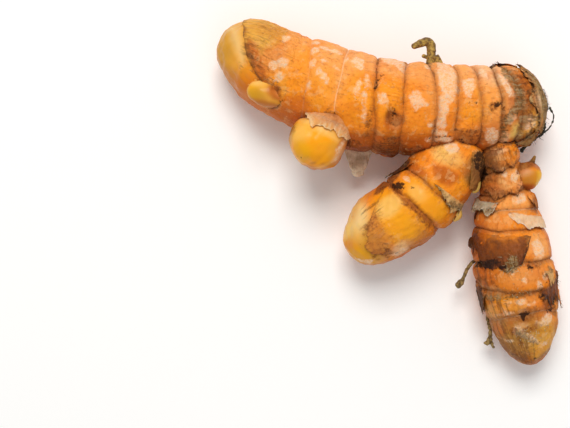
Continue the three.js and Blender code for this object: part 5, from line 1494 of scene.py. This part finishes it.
def hair_mesh(name, roots, ways, bends, thickness):
    """Hairs: root + way t + bend t^2 for t from 0 to 1, each a tube of radius thickness x (1 - taper t)."""
    count = len(roots)
    t = np.linspace(0, 1, HAIR_ROWS)[None, :, None]
    centres = roots[:, None] + ways[:, None] * t + bends[:, None] * t ** 2
    forward = unit(ways[:, None] + 2 * bends[:, None] * t)
    helper = np.where(np.abs(forward[..., 2:3]) < 0.9, [[[0.0, 0.0, 1.0]]], [[[1.0, 0.0, 0.0]]])
    side = unit(np.cross(forward, helper))
    up = np.cross(side, forward)
    angle = np.linspace(0, 2 * np.pi, HAIR_SIDES, endpoint=False)
    radius = (thickness[:, None] * (1 - HAIR_TAPER * t[..., 0]))[..., None, None]
    ring = side[:, :, None] * np.cos(angle)[:, None] - up[:, :, None] * np.sin(angle)[:, None]
    tubes = (centres[:, :, None] + radius * ring).reshape(count, -1, 3)
    hair_points = np.concatenate([centres[:, :1], tubes, centres[:, -1:]], axis=1)
    per_hair = HAIR_ROWS * HAIR_SIDES + 2
    one = tube_faces(HAIR_ROWS, HAIR_SIDES)
    faces = [[corner + k * per_hair for corner in face] for k in range(count) for face in one]
    flat = hair_points.reshape(-1, 3)
    flat[:, 2] = np.maximum(flat[:, 2], TABLE_GAP)
    return mesh_piece(name, flat, faces)


def hairs_round(limb_name, along, turn, spread, count, length, seed):
    """Roots, ways, bends and thicknesses of hairs that sprout near one place of a limb and lean to every
    side."""
    draw = np.random.default_rng(seed)
    limb = LIMBS[limb_name]
    at = along + draw.normal(0, spread, count)
    angle = math.radians(turn) + draw.normal(0, spread, count) / float(limb.at(along, limb.radii))
    roots = skin(limb, at, angle, offset=-TUFT_ROOT)
    ways = unit(0.5 * outward(limb, at, angle) + draw.normal(0, 0.6, (count, 3)))
    sizes = length * draw.uniform(*TUFT_LENGTHS, count)
    bends = draw.normal(0, 0.4, (count, 3)) * sizes[:, None]
    return roots, ways * sizes[:, None], bends, draw.uniform(*TUFT_THICKNESS, count)


def frayed(leaf_name, count, length, seed):
    """The same of hairs along a leaf's free edge, going on the way that the leaf went."""
    draw = np.random.default_rng(seed)
    edge, way, out = free_edges[leaf_name]
    chosen = draw.integers(1, len(edge) - 1, count)
    sizes = length * draw.uniform(*EDGE_LENGTHS, count)
    ways = unit(way[chosen] + draw.normal(0, 0.35, (count, 3)) + 0.2 * out[chosen])
    bends = draw.normal(0, 0.35, (count, 3)) * sizes[:, None]
    roots = edge[chosen] - EDGE_ROOT * way[chosen]
    return roots, ways * sizes[:, None], bends, draw.uniform(*EDGE_THICKNESS, count)


HAIR_GROUPS = {     # tufts: limb, along, turn, spread, count, length, seed; edges: leaf, count, length, seed
    "sooty_hairs": (SOOTY_BARK, [
        ("mother", 5, -62, 2.0, 26, 1.6, 1), ("mother", 2, 70, 2.4, 26, 1.0, 2),
        ("mother", 1.6, -20, 2.6, 40, 1.1, 3), ("mother", 1.4, 24, 2.6, 40, 1.0, 8),
        ("finger_2", 4.5, 92, 1.2, 14, 1.2, 4), ("crown_scale", 40, 0.8, 5), ("crown_top_flake", 12, 0.8, 6),
        ("crown_under_flake", 14, 1.0, 7)]),
    "brown_hairs": (ROOT_BARK, [
        ("side_scale", 16, 0.9, 11), ("side_flake_low", 14, 0.9, 12), ("side_flake_high", 10, 0.8, 13),
        ("neck_scale_1", 10, 0.5, 14), ("neck_scale_2", 10, 0.5, 15), ("edge_scale", 10, 0.8, 16),
        ("brown_scale", 12, 0.6, 17), ("finger_1_back_scale", 8, 0.6, 19)]),
    "pale_hairs": (PALE_FIBRE, [
        ("finger_2", 33.4, 11, 1.1, 90, 1.7, 21), ("finger_1_collar", 24, 0.6, 22),
        ("torn_scale", 16, 0.5, 23), ("finger_2", 53.4, 10, 1.6, 44, 0.6, 24),
        ("finger_2", 52.5, -24, 1.6, 20, 0.6, 25), ("finger_2", 40.8, 10, 1.4, 26, 0.6, 26)]),
}
for hair_name, (bark, rows) in HAIR_GROUPS.items():
    groups = [hairs_round(*row) if row[0] in LIMBS else frayed(*row) for row in rows]
    hairs = hair_mesh(hair_name, *(np.concatenate(parts) for parts in zip(*groups)))
    hairs.data.materials.append(bark)
    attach(hairs, "root")
    print(hair_name, len(hairs.data.polygons), "faces")

# %% [markdown]
# ## Floor, light and camera
#
# A white table, a broad soft light high over the far side of the root, a faint one from the near side
# and a dim even sky. The camera looks straight down from 37 cm, with its middle to the left of the root.

# %% Stage
FLOOR = 900         # mm, half its side
SKY_STRENGTH = 0.42
corners = [(-FLOOR, -FLOOR, 0), (FLOOR, -FLOOR, 0), (FLOOR, FLOOR, 0), (-FLOOR, FLOOR, 0)]
floor = mesh_piece("floor", corners, [(0, 1, 2, 3)])
floor.data.materials.append(Recipe("white_table").finish(linear("#FFFFFF"), roughness=0.9))

world = bpy.data.worlds.new("soft_sky")
world.use_nodes = True
world.node_tree.nodes["Background"].inputs["Color"].default_value = linear("#FFFFFF")
world.node_tree.nodes["Background"].inputs["Strength"].default_value = SKY_STRENGTH
bpy.context.scene.world = world


def area_light(name, place, aim, size, power, colour):
    """A square area light facing the point it is aimed at, with place, aim and size in millimetres."""
    data = bpy.data.lights.new(name, "AREA")
    data.size = size * MM
    data.energy = power
    data.color = linear(colour)[:3]
    lamp = bpy.data.objects.new(name, data)
    lamp.location = np.array(place) * MM
    lamp.rotation_euler = Vector(np.array(aim) - np.array(place)).to_track_quat("-Z", "Y").to_euler()
    bpy.context.scene.collection.objects.link(lamp)


area_light("key", (-80, 560, 950), (0, 0, 10), 520, 8.4, "#FFFDF8")
area_light("fill", (120, -260, 380), (0, 0, 10), 400, 0.22, "#FFFFFF")

# %% Camera
CAMERA_HEIGHT = 373         # mm over the table
CAMERA_CENTRE = np.array([-27.6, -6.1, 0.0]) + PLAN_SHIFT
lens = bpy.data.cameras.new("camera")
lens.lens = 84.2            # mm, on a sensor 36 mm wide
lens.sensor_width = 36.0
lens.clip_start = 0.01
camera = bpy.data.objects.new("camera", lens)
camera.location = (CAMERA_CENTRE + [0, 0, CAMERA_HEIGHT]) * MM
bpy.context.scene.collection.objects.link(camera)
bpy.context.scene.camera = camera
bpy.context.scene.view_settings.view_transform = "Standard"
